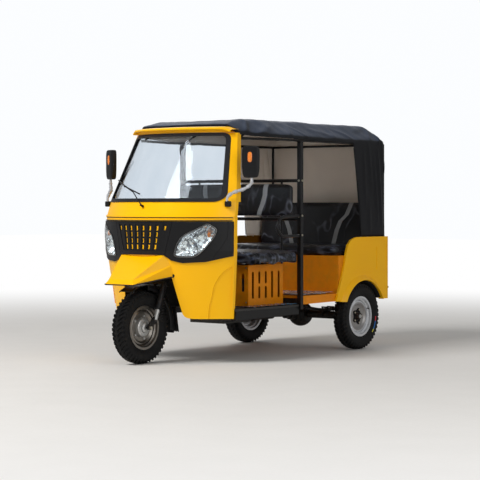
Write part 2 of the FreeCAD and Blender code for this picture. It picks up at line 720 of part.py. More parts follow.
def rear_panel():
    """The flat rear panel with a raised rib round the hatch."""
    half, face = BODY_HALF_WIDTH - QUARTER_DEPTH, REAR_FACE - 4
    panel = box(-half, half, REAR_FACE - 12, face, BODY_BOTTOM, BODY_TOP)
    rib = box(-HATCH_HALF, HATCH_HALF, face, REAR_FACE, HATCH_LOW, HATCH_HIGH)
    inside = HATCH_HALF - HATCH_RIB
    rib = rib.cut(box(-inside, inside, face, REAR_FACE, HATCH_LOW + HATCH_RIB, HATCH_HIGH - HATCH_RIB))
    panel = fuse([panel, rib])
    for side in (1, -1):
        panel = panel.cut(rod((side * PLATE_SPACING / 2, REAR_FACE - 50, PLATE_HEIGHT),
                              (side * PLATE_SPACING / 2, REAR_FACE + 50, PLATE_HEIGHT), PLATE_HOLE_RADIUS))
    return panel


def tail_lamps():
    lamp = box(470, 575, REAR_FACE - 4, REAR_FACE + LAMP_PROUD, 640, 780)
    lamp = lamp.makeFillet(8, [e for e in lamp.Edges if e.BoundBox.YMin > REAR_FACE])
    return both(lamp)


# Canopy

# columns: station, height of the roof's side outline, from the front eave round to the rear wall's foot
ROOF_SIDE = [(470.0, EAVE), (500.0, 1768.0), (670.0, HIP_HEIGHT), (700.0, ROOF_TOP + 5),
             (REAR_FACE - 270, ROOF_TOP + 5), (REAR_FACE - 70, 1850.0), (REAR_FACE - 14, 1778.0),
             (REAR_FACE - 6, EAVE), (REAR_FACE, BODY_TOP + SEAT_GAP)]
FLAP_EDGE = [(REAR_FACE - 499, EAVE), (REAR_FACE - 412, 1233.0), (REAR_FACE - 389, BODY_TOP)]
EAVE_ROLL = 55.0
EAVE_LEAN = 4.0
# columns: half width, station of the canopy's plan outline, from the front corner rearwards
ROOF_PLAN = [(430.0, 500.0), (508.0, 560.0), (CANOPY_HALF_WIDTH, 1000.0)]
ROOF_FRONT_FOOT = SCREEN_TOP + VISOR_HEIGHT + SEAT_GAP


def canopy_block(shrink):
    """The space under the canopy's outer face, smaller all round by the wall."""
    half, hip = CANOPY_HALF_WIDTH - shrink, HIP_HALF_WIDTH - shrink / 2
    hip_height, top = HIP_HEIGHT - shrink, ROOF_TOP - shrink
    roll = (half - EAVE_LEAN, EAVE + EAVE_ROLL - 0.4 * shrink)
    low = BODY_TOP + SEAT_GAP - (10 if shrink else 0)
    right = [(half, low), (half, EAVE), roll, (hip, hip_height)]
    across = right + [(0, top)] + [(-x, h) for x, h in reversed(right)]
    ahead = 20 if shrink else 0
    (eave_s, eave_h), (brow_s, brow_h), (rise_s, rise_h) = ROOF_SIDE[:3]
    profile = [(eave_s - ahead, low), (eave_s - ahead, eave_h)]
    profile.append((brow_s - ahead, brow_h - shrink - ahead / 2))
    profile.append((rise_s + 0.6 * shrink, rise_h - shrink))
    profile += [(s, h - shrink) for s, h in ROOF_SIDE[3:5]]
    profile += [(s - 0.8 * shrink, h - 0.8 * shrink) for s, h in ROOF_SIDE[5:6]]
    profile += [(s - shrink, h) for s, h in ROOF_SIDE[6:8]]
    profile.append((ROOF_SIDE[8][0] - shrink, low))
    behind = REAR_FACE + 130
    plan = [(x - shrink, s) for x, s in ROOF_PLAN] + [(half, behind)]
    plan[0] = (plan[0][0], plan[0][1] + shrink - 2 * ahead)
    corners = [V(x, s, 0) for x, s in plan] + [V(-x, s, 0) for x, s in reversed(plan)]
    inside_plan = Part.Face(Part.makePolygon(corners + [corners[0]])).extrude(V(0, 0, 2500))
    return front_plate(across, 300, behind).common(side_plate(profile, -700, 700)).common(inside_plan)


def canopy():
    shell = canopy_block(0).cut(canopy_block(CANOPY_WALL))
    post = ROOF_PLAN[1][1] + 30
    below = [(300, 800), (300, ROOF_FRONT_FOOT), (post, ROOF_FRONT_FOOT), (post, EAVE)]
    below += FLAP_EDGE + [(FLAP_EDGE[-1][0] + 4, 800)]
    return shell.cut(side_plate(below, -700, 700))


BOW_STATIONS = [620.0, PILLAR_STATION, REAR_FACE - 670]


def canopy_frame():
    """Side rails under the eaves, bows across the roof and the two rear posts."""
    x = CANOPY_HALF_WIDTH - CANOPY_WALL - EAVE_LEAN - RAIL_RADIUS - SEAT_GAP
    back = REAR_FACE - 12 - RAIL_RADIUS - 6 * SEAT_GAP
    inset = CANOPY_HALF_WIDTH - x
    (corner_x, corner_s), (full_x, full_s) = ROOF_PLAN[1:]
    ahead = (corner_x - inset, corner_s + 20, RAIL_HEIGHT)
    bend = (x, full_s, RAIL_HEIGHT)
    rail = fuse([rod(bend, (x, back, RAIL_HEIGHT), RAIL_RADIUS), rod(ahead, bend, RAIL_RADIUS)])
    post = rod((x, back, BODY_TOP - 120), (x, back, RAIL_HEIGHT), RAIL_RADIUS)
    parts = [rail, mirrored(rail), post, mirrored(post)]
    for station in BOW_STATIONS:
        near_front = station < full_s
        along = (station - corner_s) / (full_s - corner_s) if near_front else 1.0
        foot = ahead[0] + (x - ahead[0]) * along
        top, hip = HIP_HEIGHT - (70 if near_front else 40), HIP_HALF_WIDTH - 30
        parts.append(bent_tube([(-foot, station, RAIL_HEIGHT), (-hip, station, top), (hip, station, top),
                                (foot, station, RAIL_HEIGHT)], BOW_RADIUS, 60))
    parts.append(rod((-x, back, RAIL_HEIGHT), (x, back, RAIL_HEIGHT), RAIL_RADIUS))
    return fuse(parts)


# Chassis and running gear

RAIL_X = 280.0
RAIL_WIDTH = 40.0
RAIL_DEPTH = 60.0
FRONT_RAIL_TOP = DRIVER_FLOOR - PLATE
REAR_RAIL_TOP = PASSENGER_FLOOR - FLOOR_DEPTH
RAIL_FRONT = 480.0
RAIL_STEP = 1240.0
RAIL_BACK = REAR_FACE - 30
CROSS_SIDE = 40.0
FRONT_CROSS_HALF = 540.0
REAR_CROSS_HALF = 590.0
LEG_RADIUS = 16.0
HEAD_TUBE_WALL = 10.0
EXHAUST_X = -130.0
CAN_LENGTH = 330.0
CAN_AHEAD_OF_AXLE = 240.0
CAN_FRONT = WHEELBASE - CAN_AHEAD_OF_AXLE - CAN_LENGTH
EXHAUST_STRAP = CAN_FRONT + 90


def axis_point(up, x=0.0):
    """A point on the steering axis, so far up it from the axle's height."""
    rake = math.radians(RAKE_DEGREES)
    return (x, AXIS_BEHIND_AXLE + up * math.sin(rake), TYRE_RADIUS + up * math.cos(rake))


def chassis_frame():
    """Two rails, each stepped up behind the driver's floor."""
    half = RAIL_WIDTH / 2
    spans = [(RAIL_FRONT, RAIL_STEP + RAIL_DEPTH, FRONT_RAIL_TOP), (RAIL_STEP, RAIL_BACK, REAR_RAIL_TOP)]
    rail = fuse([box(RAIL_X - half, RAIL_X + half, front, back, top - RAIL_DEPTH, top)
                 for front, back, top in spans])
    return both(rail)


def cross_members():
    """Six members between the rails, each with an outrigger on the outer side of either rail."""
    inner, outer = RAIL_X - RAIL_WIDTH / 2 - SEAT_GAP, RAIL_X + RAIL_WIDTH / 2 + SEAT_GAP
    # columns: station, half width, top
    places = [(560, FRONT_CROSS_HALF, FRONT_RAIL_TOP),
              (ENGINE_FRONT - CROSS_SIDE - SEAT_GAP, FRONT_CROSS_HALF, FRONT_RAIL_TOP),
              (ENGINE_BACK + SEAT_GAP, FRONT_CROSS_HALF, FRONT_RAIL_TOP),
              (RAIL_STEP + 10, REAR_CROSS_HALF, REAR_RAIL_TOP),
              (EXHAUST_STRAP - CROSS_SIDE / 2, REAR_CROSS_HALF, REAR_RAIL_TOP),
              (RAIL_BACK - 60, REAR_CROSS_HALF, REAR_RAIL_TOP)]
    bars = []
    for station, half, top in places:
        for x0, x1 in ((-half, -outer), (-inner, inner), (outer, half)):
            bars.append(box(x0, x1, station, station + CROSS_SIDE, top - CROSS_SIDE, top))
    return Part.makeCompound(bars)


def head_tube():
    """The raked head tube on two tubes that rise from the rails' front ends."""
    low, high = axis_point(HEAD_TUBE_LOW), axis_point(HEAD_TUBE_HIGH)
    middle = axis_point((HEAD_TUBE_LOW + HEAD_TUBE_HIGH) / 2 + 15)
    foot = FRONT_RAIL_TOP - RAIL_DEPTH / 2
    legs = [bent_tube([(side * 10, middle[1], middle[2]), (side * 150, 400, 590), (side * RAIL_X, 425, foot),
                       (side * RAIL_X, RAIL_FRONT - SEAT_GAP, foot)], LEG_RADIUS, 30) for side in (1, -1)]
    tube = fuse(legs + [rod(low, high, COLUMN_RADIUS + HEAD_TUBE_WALL)])
    bore_low, bore_high = axis_point(HEAD_TUBE_LOW - 60), axis_point(HEAD_TUBE_HIGH + 60)
    return tube.cut(rod(bore_low, bore_high, COLUMN_RADIUS + SHAFT_GAP))


AXLE_TUBE_RADIUS = 32.0
AXLE_END = 500.0
NOSE_REACH = 170.0
SPRING_HALF = 350.0
LEAF_WIDTH = 50.0
LEAF = 8.0


def rear_axle():
    s, h = WHEELBASE, TYRE_RADIUS
    tube = rod((-AXLE_END, s, h), (AXLE_END, s, h), AXLE_TUBE_RADIUS)
    housing = Part.makeSphere(105, V(0, s, h)).common(box(-80, 80, s - 120, s + 120, h - 110, h + 110))
    nose = rod((0, s - 80, h), (0, s - NOSE_REACH, h), 42)
    plates = [rod((side * (AXLE_END - 14), s, h), (side * AXLE_END, s, h), 80) for side in (1, -1)]
    stub = rod((-REAR_TRACK / 2 - 24, s, h), (REAR_TRACK / 2 + 24, s, h), 14)
    return fuse([tube, housing, nose, stub] + plates)


def leaf_springs():
    """Two packs of three leaves over the axle, each leaf an arc, with eyes and hangers."""
    seat = TYRE_RADIUS + AXLE_TUBE_RADIUS + SEAT_GAP
    eye_height = REAR_RAIL_TOP - RAIL_DEPTH - 32
    leaves = []
    for index, half in enumerate((SPRING_HALF, 300.0, 200.0)):
        drop = (2 - index) * LEAF
        rise = (eye_height - seat - 2 * LEAF) * (half / SPRING_HALF) ** 2
        end, middle = seat + drop + rise, seat + drop
        low = [V(0, WHEELBASE - half, end), V(0, WHEELBASE, middle), V(0, WHEELBASE + half, end)]
        high = [p + V(0, 0, LEAF + 0.4) for p in low]
        wire = Part.Wire([Part.Arc(*low).toShape(), Part.LineSegment(low[2], high[2]).toShape(),
                          Part.Arc(*high).toShape(), Part.LineSegment(high[0], low[0]).toShape()])
        leaves.append(Part.Face(wire).extrude(V(LEAF_WIDTH, 0, 0)))
    pack = fuse(leaves)
    for station in (WHEELBASE - SPRING_HALF, WHEELBASE + SPRING_HALF):
        eye = Part.makeCylinder(16, LEAF_WIDTH, V(0, station, eye_height + 6), V(1, 0, 0))
        hanger = box(0, LEAF_WIDTH, station - 12, station + 12, eye_height + 6, REAR_RAIL_TOP - RAIL_DEPTH)
        pack = fuse([pack, eye, hanger])
    pack.translate(V(RAIL_X - LEAF_WIDTH / 2, 0, 0))
    return both(pack)


def rear_shocks():
    low = (390, WHEELBASE, TYRE_RADIUS + AXLE_TUBE_RADIUS + SEAT_GAP)
    high = (390, WHEELBASE, REAR_RAIL_TOP - SEAT_GAP)
    return rod(low, high, 20)


def drive_shaft():
    front, back = ENGINE_BACK + SEAT_GAP, WHEELBASE - NOSE_REACH - SEAT_GAP
    shaft = rod((0, front + 20, GEARBOX_OUTLET), (0, back - 20, TYRE_RADIUS), 18)
    joints = [rod((0, front, GEARBOX_OUTLET), (0, front + 60, GEARBOX_OUTLET), 30),
              rod((0, back - 60, TYRE_RADIUS), (0, back, TYRE_RADIUS), 30)]
    return fuse([shaft] + joints)


def exhaust():
    """Pipe from the engine's rear face, silencer can, and the strap that hangs it from a cross member."""
    pipe = rod((EXHAUST_X, ENGINE_BACK + SEAT_GAP, 290), (EXHAUST_X, CAN_FRONT + 10, 290), 15)
    can = rod((EXHAUST_X, CAN_FRONT, 280), (EXHAUST_X, CAN_FRONT + CAN_LENGTH, 280), 45)
    top = REAR_RAIL_TOP - CROSS_SIDE - SEAT_GAP
    strap = box(EXHAUST_X - 10, EXHAUST_X + 10, EXHAUST_STRAP - 10, EXHAUST_STRAP + 10, 310, top)
    return fuse([pipe, can, strap])


# Wheels

def tyre(x, station):
    half, shoulder = RIM_HALF_WIDTH - RIM_WALL - 0.5, TYRE_RADIUS - SHOULDER_DROP
    base = RIM_SEAT_RADIUS + SEAT_GAP
    bead = RIM_FLANGE_RADIUS + 3
    middle = (bead + shoulder) / 2
    tread = TREAD_HALF_WIDTH

    def side_arc(s):
        bulge = V(s * TYRE_WIDTH / 2, 0, middle)
        return Part.Arc(V(s * half, 0, bead), bulge, V(s * tread, 0, shoulder)).toShape()
    crown = Part.Arc(V(tread, 0, shoulder), V(0, 0, TYRE_RADIUS), V(-tread, 0, shoulder)).toShape()
    inside = [V(-half, 0, bead), V(-half, 0, base), V(half, 0, base), V(half, 0, bead)]
    lines = [Part.LineSegment(a, b).toShape() for a, b in zip(inside, inside[1:])]
    wire = Part.Wire(Part.__sortEdges__(lines + [side_arc(1), crown, side_arc(-1)]))
    return turned(Part.Face(wire), x, station, TYRE_RADIUS)


def stud_place(index, x, circle):
    """Place of one wheel stud on the stud circle about the axle."""
    a = 2 * math.pi * index / STUD_COUNT
    return V(x, circle * math.cos(a), circle * math.sin(a))


def rim(x, station, outward, circle, hole):
    """Rim with its drop centre and flanges, and a dished disc with its centre hole and stud holes."""
    seat, flange, wide, wall = RIM_SEAT_RADIUS, RIM_FLANGE_RADIUS, RIM_HALF_WIDTH, RIM_WALL
    right = [(16, seat - 14), (20, seat - 3), (wide - wall, seat), (wide - wall, flange), (wide, flange),
             (wide, seat - wall), (24, seat - 7), (19, seat - 18)]
    barrel = right + [(-x, r) for x, r in reversed(right)]
    crest = max(circle + 30, 104)
    disc = [(6, seat - 16), (18, 128), (22, crest), (8, crest - 16), (8, hole), (4, hole), (4, crest - 14),
            (17.5, crest), (14, 126), (0, seat - 16)]
    shape = fuse([turned(barrel, 0, 0, 0), turned([(outward * dx, r) for dx, r in disc], 0, 0, 0)])
    for i in range(STUD_COUNT):
        shape = shape.cut(Part.makeCylinder(STUD_RADIUS + 0.5, 60, stud_place(i, -30, circle), V(1, 0, 0)))
    shape.translate(V(x, station, TYRE_RADIUS))
    return shape


def hub(x, station, outward, section, circle, bore):
    """Drum and boss from their section of (x, radius) points, with studs and nuts, bored for the axle."""
    parts = [turned([(outward * a, r) for a, r in section], 0, 0, 0)]
    for i in range(STUD_COUNT):
        place, axis = stud_place(i, 0, circle), V(outward, 0, 0)
        parts.append(Part.makeCylinder(STUD_RADIUS, 16, place, axis))
        parts.append(Part.makeCylinder(NUT_RADIUS, 8, place + axis * (8.0 + SEAT_GAP), axis))
    shape = fuse(parts).cut(Part.makeCylinder(bore, 400, V(-200, 0, 0), V(1, 0, 0)))
    shape.translate(V(x, station, TYRE_RADIUS))
    return shape


def front_hub():
    """The front drum lies behind the disc, and a stepped cone stands out through its centre hole."""
    drum, cone = FRONT_DRUM_RADIUS, FRONT_CONE_RADIUS
    section = [(-44, 0), (-44, cone - 8), (-38, cone), (-10, cone), (-6, drum), (3.7, drum), (3.7, cone),
               (34, cone - 4), (40, cone - 12), (42, cone - 30), (54, cone - 34), (60, 24), (62, 0)]
    return hub(0, 0, 1, section, FRONT_STUD_CIRCLE, FRONT_AXLE_RADIUS + SHAFT_GAP)


def rear_hub(x, side):
    """The rear drum behind the disc and its boss through the centre hole."""
    drum = REAR_DRUM_RADIUS
    section = [(-44, 0), (-44, drum - 4), (-40, drum), (-6, drum), (3.7, drum - 14), (3.7, HUB_RADIUS),
               (36, HUB_RADIUS - 4), (36, 0)]
    return hub(x, WHEELBASE, side, section, REAR_STUD_CIRCLE, 14 + SHAFT_GAP)


# Steering

def fork():
    spread = FORK_HALF_SPREAD
    parts = []
    for side in (1, -1):
        x = side * spread
        parts.append(rod(axis_point(40, x), axis_point(CROWN_UP, x), FORK_LEG_RADIUS))
        parts.append(rod(axis_point(150, x), axis_point(CROWN_UP - 20, x), FORK_BOOT_RADIUS))
        low = axis_point(75, x)
        link = side_plate([(-16, TYRE_RADIUS - 14), (14, TYRE_RADIUS - 16), (low[1] + 18, low[2] - 10),
                           (low[1] + 14, low[2] + 16), (low[1] - 20, low[2] + 10), (-16, TYRE_RADIUS + 14)],
                          x - 9, x + 9)
        parts.append(link)
    crown = box(-spread - 28, spread + 28, -26, 26, -CROWN_HALF, CROWN_HALF)
    crown.rotate(V(0, 0, 0), V(1, 0, 0), -RAKE_DEGREES)
    crown.translate(V(*axis_point(CROWN_UP)))
    axle = rod((-spread - 22, 0, TYRE_RADIUS), (spread + 22, 0, TYRE_RADIUS), FRONT_AXLE_RADIUS)
    column = rod(axis_point(CROWN_UP), axis_point(COLUMN_TOP), COLUMN_RADIUS)
    return fuse(parts + [crown, axle, column])


def front_mudguard():
    """The inner mudguard: a rolled channel over the tyre, hung on a stay from the crown."""
    half, outer = MUDGUARD_WIDTH / 2, MUDGUARD_RADIUS
    section = [(half - 16, outer + 4), (half, outer), (half, outer - 8), (half - 4, outer - 8),
               (half - 4, outer - 3), (half - 17, outer)]
    ring = turned(section + [(-x, r) for x, r in reversed(section)], 0, 0, TYRE_RADIUS)
    reach = 500
    front, rear = math.radians(GUARD_FRONT_ANGLE), math.radians(GUARD_REAR_ANGLE)
    keep = [(0, TYRE_RADIUS), (reach * math.sin(front), TYRE_RADIUS + reach * math.cos(front)),
            (0, TYRE_RADIUS + reach * 1.3), (reach, TYRE_RADIUS + reach),
            (reach * math.sin(rear), TYRE_RADIUS + reach * math.cos(rear))]
    guard = ring.common(side_plate(keep, -half - 1, half + 1))
    stay = rod(axis_point(305), axis_point(CROWN_UP - CROWN_HALF - SEAT_GAP), 12)
    return fuse([guard, stay])


def handlebar():
    y, z = axis_point(COLUMN_TOP)[1:]
    half = HANDLEBAR_HALF_WIDTH
    stem = rod(axis_point(COLUMN_TOP + SEAT_GAP), axis_point(COLUMN_TOP + 30), COLUMN_RADIUS + 6)
    right = [(80, y + 8, z + 20), (170, y + 30, z + 62), (half, y + 85, z + 50)]
    bar = bent_tube([(-x, b, c) for x, b, c in reversed(right)] + right, HANDLEBAR_RADIUS, 40)
    return fuse([stem, bar])


def write(node, shape):
    shape = shape.copy()
    shape.translate(V(0, -MIDDLE, 0))
    if not shape.isValid():
        print("not valid:", node)
    shape.exportStep(f"{OUT}/{node}.step")
    solids = shape.Solids
    print(f"{node:22s} solids {len(solids)}  volume {shape.Volume / 1e3:.0f} cm3")


def main():
    os.makedirs("parts", exist_ok=True)
    plain = [front_cowl, front_mask, front_fender, windshield_glass, windshield_seal, roof_visor, wiper,
             dashboard, driver_floor, side_sills, driver_seat_box, driver_cushion, engine_block, foot_brake,
             side_posts, partition_frame, driver_backrest, passenger_floor, bench_base, passenger_cushion,
             passenger_backrest, rear_panel, tail_lamps, canopy, canopy_frame, chassis_frame, cross_members,
             head_tube, rear_axle, leaf_springs, drive_shaft, exhaust, fork, front_mudguard, handlebar]
    for make in plain:
        write(make.__name__, make())
    write("rear_shocks", both(rear_shocks()))
    for name, side in (("left", 1), ("right", -1)):
        write(f"headlamp_{name}", headlamp(side))
        write(f"mirror_{name}", mirror() if side == 1 else mirrored(mirror()))
        write(f"rear_quarter_{name}", rear_quarter() if side == 1 else mirrored(rear_quarter()))
        x = side * REAR_TRACK / 2
        write(f"rear_tyre_{name}", tyre(x, WHEELBASE))
        write(f"rear_rim_{name}", rim(x, WHEELBASE, side, REAR_STUD_CIRCLE, HUB_RADIUS + 3))
        write(f"rear_hub_{name}", rear_hub(x, side))
    write("front_tyre", tyre(0, 0))
    write("front_rim", rim(0, 0, 1, FRONT_STUD_CIRCLE, FRONT_CONE_RADIUS + 3))
    write("front_hub", front_hub())


main()
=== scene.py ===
import math

import bmesh
import bpy
import numpy as np
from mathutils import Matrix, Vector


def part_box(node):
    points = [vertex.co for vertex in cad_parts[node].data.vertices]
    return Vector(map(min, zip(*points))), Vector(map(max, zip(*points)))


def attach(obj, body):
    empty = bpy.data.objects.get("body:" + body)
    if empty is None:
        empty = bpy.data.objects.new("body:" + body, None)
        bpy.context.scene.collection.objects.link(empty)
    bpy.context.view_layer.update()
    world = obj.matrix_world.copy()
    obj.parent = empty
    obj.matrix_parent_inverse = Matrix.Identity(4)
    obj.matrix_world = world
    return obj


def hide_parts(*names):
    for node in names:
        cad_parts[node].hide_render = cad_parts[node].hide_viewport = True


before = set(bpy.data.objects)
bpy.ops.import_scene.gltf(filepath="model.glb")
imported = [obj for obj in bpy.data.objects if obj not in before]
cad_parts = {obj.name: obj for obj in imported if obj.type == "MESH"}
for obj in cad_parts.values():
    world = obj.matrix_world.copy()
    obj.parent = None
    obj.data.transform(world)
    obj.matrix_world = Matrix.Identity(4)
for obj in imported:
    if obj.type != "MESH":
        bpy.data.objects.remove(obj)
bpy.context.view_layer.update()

# Places are given as (x, station, height): metres, with the station measured rearwards from the front axle.
_low, _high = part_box("front_hub")
FRONT_AXLE_Y = (_low.y + _high.y) / 2
AXLE_HEIGHT = (_low.z + _high.z) / 2
TYRE_RADIUS = 0.2725
WHEELBASE = 2.06
REAR_WHEEL_X = 0.568
BLUE_FILM = (FRONT_AXLE_Y + 0.98, FRONT_AXLE_Y + 1.00)
SIDES = (("left", 1), ("right", -1))


def placed(points):
    """Points given as (x, station, height), in the frame's own axes."""
    moved = np.array(points, float)
    moved[..., 1] += FRONT_AXLE_Y
    return moved


def srgb(red, green, blue):
    """A colour given as 0 to 255 screen values, as the linear colour that a shader takes."""
    channels = np.array([red, green, blue]) / 255.0
    linear = np.where(channels <= 0.04045, channels / 12.92, ((channels + 0.055) / 1.055) ** 2.4)
    return (*(float(c) for c in linear), 1.0)


# Camera

CAMERA_PLACE = (8.268, -10.540, 1.189)
CAMERA_AZIMUTH = 37.81
CAMERA_PITCH = -0.262
FOCAL_PIXELS = 1668.0
FRAME_PIXELS = 480.0
PRINCIPAL_ROW = 213.0
SENSOR = 36.0


def make_camera():
    camera = bpy.data.cameras.new("camera")
    camera.sensor_width = SENSOR
    camera.lens = FOCAL_PIXELS / FRAME_PIXELS * SENSOR
    camera.shift_y = (PRINCIPAL_ROW - FRAME_PIXELS / 2) / FRAME_PIXELS
    camera.clip_end = 200.0
    holder = bpy.data.objects.new("camera", camera)
    bpy.context.scene.collection.objects.link(holder)
    holder.location = CAMERA_PLACE
    holder.rotation_euler = (math.radians(90 + CAMERA_PITCH), 0, math.radians(CAMERA_AZIMUTH))
    bpy.context.scene.camera = holder


make_camera()


# Shader maths

class Wire:
    """A shader socket that takes part in arithmetic; each operator adds its Math node."""

    def __init__(self, graph, socket):
        self.graph, self.socket = graph, socket

    def __add__(self, other):
        return self.graph.maths("ADD", self, other)

    def __sub__(self, other):
        return self.graph.maths("SUBTRACT", self, other)

    def __rsub__(self, other):
        return self.graph.maths("SUBTRACT", other, self)

    def __mul__(self, other):
        return self.graph.maths("MULTIPLY", self, other)

    def __truediv__(self, other):
        return self.graph.maths("DIVIDE", self, other)

    def __pow__(self, other):
        return self.graph.maths("POWER", self, other)

    __radd__, __rmul__ = __add__, __mul__


class Graph:
    """The node tree of one material or of the world."""

    def __init__(self, tree):
        self.tree = tree
        tree.nodes.clear()

    def node(self, kind, settings=None, inputs=None, output=0):
        """Any node: its settings first, then a value or a wire for each socket, by name or number."""
        node = self.tree.nodes.new(kind)
        for name, value in (settings or {}).items():
            if name == "stops":
                ramp = node.color_ramp.elements
                while len(ramp) < len(value):
                    ramp.new(0.5)
                for element, (position, colour) in zip(ramp, value):
                    element.position = position
                    element.color = colour
            else:
                setattr(node, name, value)
        for name, value in (inputs or {}).items():
            if isinstance(value, Wire):
                self.tree.links.new(value.socket, node.inputs[name])
            else:
                node.inputs[name].default_value = value
        return Wire(self, node.outputs[output]) if node.outputs else None

    def maths(self, operation, *values):
        return self.node("ShaderNodeMath", {"operation": operation}, dict(enumerate(values)))

    def vector(self, operation, *values):
        return self.node("ShaderNodeVectorMath", {"operation": operation}, dict(enumerate(values)))

    def blend(self, factor, first, second):
        """A colour between two colours."""
        return self.node("ShaderNodeMix", {"data_type": "RGBA"}, {0: factor, 6: first, 7: second}, 2)

    def place(self):
        return self.node("ShaderNodeTexCoord", output="Object")

    def along(self, place, axis):
        """One of the three numbers of a vector."""
        return self.node("ShaderNodeSeparateXYZ", None, {0: place}, axis)

    def facing(self, axis):
        """How far the surface faces along one of the three axes."""
        return self.along(self.node("ShaderNodeNewGeometry", output="Normal"), axis)

    def ribs(self, place, axis, rate):
        """Even ribs along one of the three axes."""
        return self.maths("SINE", self.along(place, axis) * rate)

    def scaled(self, place, x, y, z):
        return self.vector("MULTIPLY", place, (x, y, z))

    def noise(self, place, scale, detail=3.0, roughness=0.5):
        return self.node("ShaderNodeTexNoise", None,
                         {"Vector": place, "Scale": scale, "Detail": detail, "Roughness": roughness}, "Fac")

    def cells(self, place, scale):
        return self.node("ShaderNodeTexVoronoi", None, {"Vector": place, "Scale": scale}, "Distance")

    def band(self, value, low, high):
        """0 below the low value, 1 above the high one, and a smooth rise between."""
        return self.node("ShaderNodeMapRange", {"interpolation_type": "SMOOTHSTEP"},
                         {"Value": value, "From Min": low, "From Max": high}, "Result")

    def bump(self, height, strength, distance=0.001):
        inputs = {"Height": height, "Strength": strength, "Distance": distance}
        return self.node("ShaderNodeBump", None, inputs)

    def surface(self, **sockets):
        """The main shader; a socket's name is given with underscores for its spaces."""
        inputs = {name.replace("_", " "): value for name, value in sockets.items()}
        return self.node("ShaderNodeBsdfPrincipled", None, inputs)


def finish(name, build):
    """A material whose shader comes from the build function."""
    made = bpy.data.materials.new(name)
    made.use_nodes = True
    graph = Graph(made.node_tree)
    graph.node("ShaderNodeOutputMaterial", None, {"Surface": build(graph)})
    return made


# World, lamps and floor

KEY_PLACE, KEY_SIZE, KEY_WATTS = (-2.0, -9.0, 9.0), 5.0, 1270.0
FILL_PLACE, FILL_SIZE, FILL_WATTS = (9.0, -3.0, 4.0), 6.0, 230.0
BACK_PLACE, BACK_SIZE, BACK_WATTS = (-6.0, 7.0, 6.0), 5.0, 160.0
AMBIENT = 0.26
GLOSS_LIGHT = 0.4
FLOOR_HALF = 40.0
FLOOR_FADE = (3.0, 11.0)
LAMP_AIM = (0, 0, 0.9)


def make_world():
    world = bpy.data.worlds.new("world")
    bpy.context.scene.world = world
    world.use_nodes = True
    graph = Graph(world.node_tree)
    rays = [graph.node("ShaderNodeLightPath", output=name) for name in
            ("Is Camera Ray", "Is Glossy Ray", "Is Transmission Ray")]
    seen = graph.maths("MAXIMUM", graph.maths("MAXIMUM", rays[0], rays[1] * GLOSS_LIGHT), rays[2])
    strength = graph.maths("MAXIMUM", seen, AMBIENT)
    shader = graph.node("ShaderNodeBackground", None, {"Color": (0.97, 0.985, 1.0, 1), "Strength": strength})
    graph.node("ShaderNodeOutputWorld", None, {"Surface": shader})


def make_lamp(name, place, size, watts, mirrored=True):
    """A square lamp; one that isn't mirrored gives light without showing in the glass."""
    lamp = bpy.data.lights.new(name, "AREA")
    lamp.energy, lamp.size = watts, size
    holder = bpy.data.objects.new(name, lamp)
    bpy.context.scene.collection.objects.link(holder)
    holder.location = place
    holder.visible_glossy = mirrored
    away = np.array(place) - np.array(LAMP_AIM)
    turn = math.atan2(away[1], away[0]) + math.pi / 2
    tilt = math.acos(away[2] / np.linalg.norm(away))
    holder.rotation_euler = (tilt, 0, turn)


def floor_finish(g):
    """Pale concrete near the object that fades to white, so that the floor has no edge."""
    place = g.place()
    grain = g.noise(place, 3.0, 5.0) * 0.5 + g.noise(place, 40.0, 2.0) * 0.5
    tone = g.blend(grain, srgb(214, 211, 206), srgb(226, 223, 219))
    matt = g.surface(Base_Color=tone, Roughness=0.85)
    away = g.vector("LENGTH", place)
    away.socket = away.socket.node.outputs["Value"]
    seen = g.node("ShaderNodeLightPath", output="Is Camera Ray")
    white = g.node("ShaderNodeEmission", None, {"Color": (1, 1, 1, 1), "Strength": 1.0})
    return g.node("ShaderNodeMixShader", None, {0: g.band(away, *FLOOR_FADE) * seen, 1: matt, 2: white})


def make_floor():
    half = FLOOR_HALF
    mesh = bpy.data.meshes.new("floor")
    corners = [(-half, -half, 0), (half, -half, 0), (half, half, 0), (-half, half, 0)]
    mesh.from_pydata(corners, [], [(0, 1, 2, 3)])
    mesh.materials.append(finish("floor", floor_finish))
    floor = bpy.data.objects.new("floor", mesh)
    bpy.context.scene.collection.objects.link(floor)


make_world()
make_lamp("key", KEY_PLACE, KEY_SIZE, KEY_WATTS, False)
make_lamp("fill", FILL_PLACE, FILL_SIZE, FILL_WATTS)
make_lamp("back", BACK_PLACE, BACK_SIZE, BACK_WATTS)
make_floor()
bpy.context.scene.view_settings.view_transform = "Standard"


# Finishes

def outer_yellow(g, drift):
    return g.blend(drift, srgb(250, 180, 0), srgb(254, 193, 0))


def yellow_paint(g):
    place = g.place()
    drift = g.noise(place, 1.7, 3.0)
    peel = g.noise(place, 420.0, 2.0)
    dust = g.band(g.noise(place, 9.0, 6.0, 0.65), 0.52, 0.75)
    colour = outer_yellow(g, drift)
    return g.surface(Base_Color=colour, Roughness=0.42 + dust * 0.1, Coat_Weight=0.12 - dust * 0.06,
                     Coat_Roughness=0.12, Specular_IOR_Level=0.22, Normal=g.bump(peel, 0.05))


def quarter_paint(g):
    """The same paint outside, and painted shade on the sides that face the passengers: a dark brown for the
    paint in the body's shade.
    """
    place = g.place()
    outside = g.band(g.facing(0) * g.along(place, 0), -0.3, -0.1)
    drift = g.noise(place, 1.7, 3.0)
    # painted shade: faces turned towards the middle get dark brown in place of the yellow
    colour = g.blend(outside, srgb(104, 66, 8), outer_yellow(g, drift))
    return g.surface(Base_Color=colour, Roughness=0.44 + drift * 0.06, Coat_Weight=0.12, Coat_Roughness=0.12,
                     Specular_IOR_Level=0.22, Normal=g.bump(g.noise(place, 420.0, 2.0), 0.05))


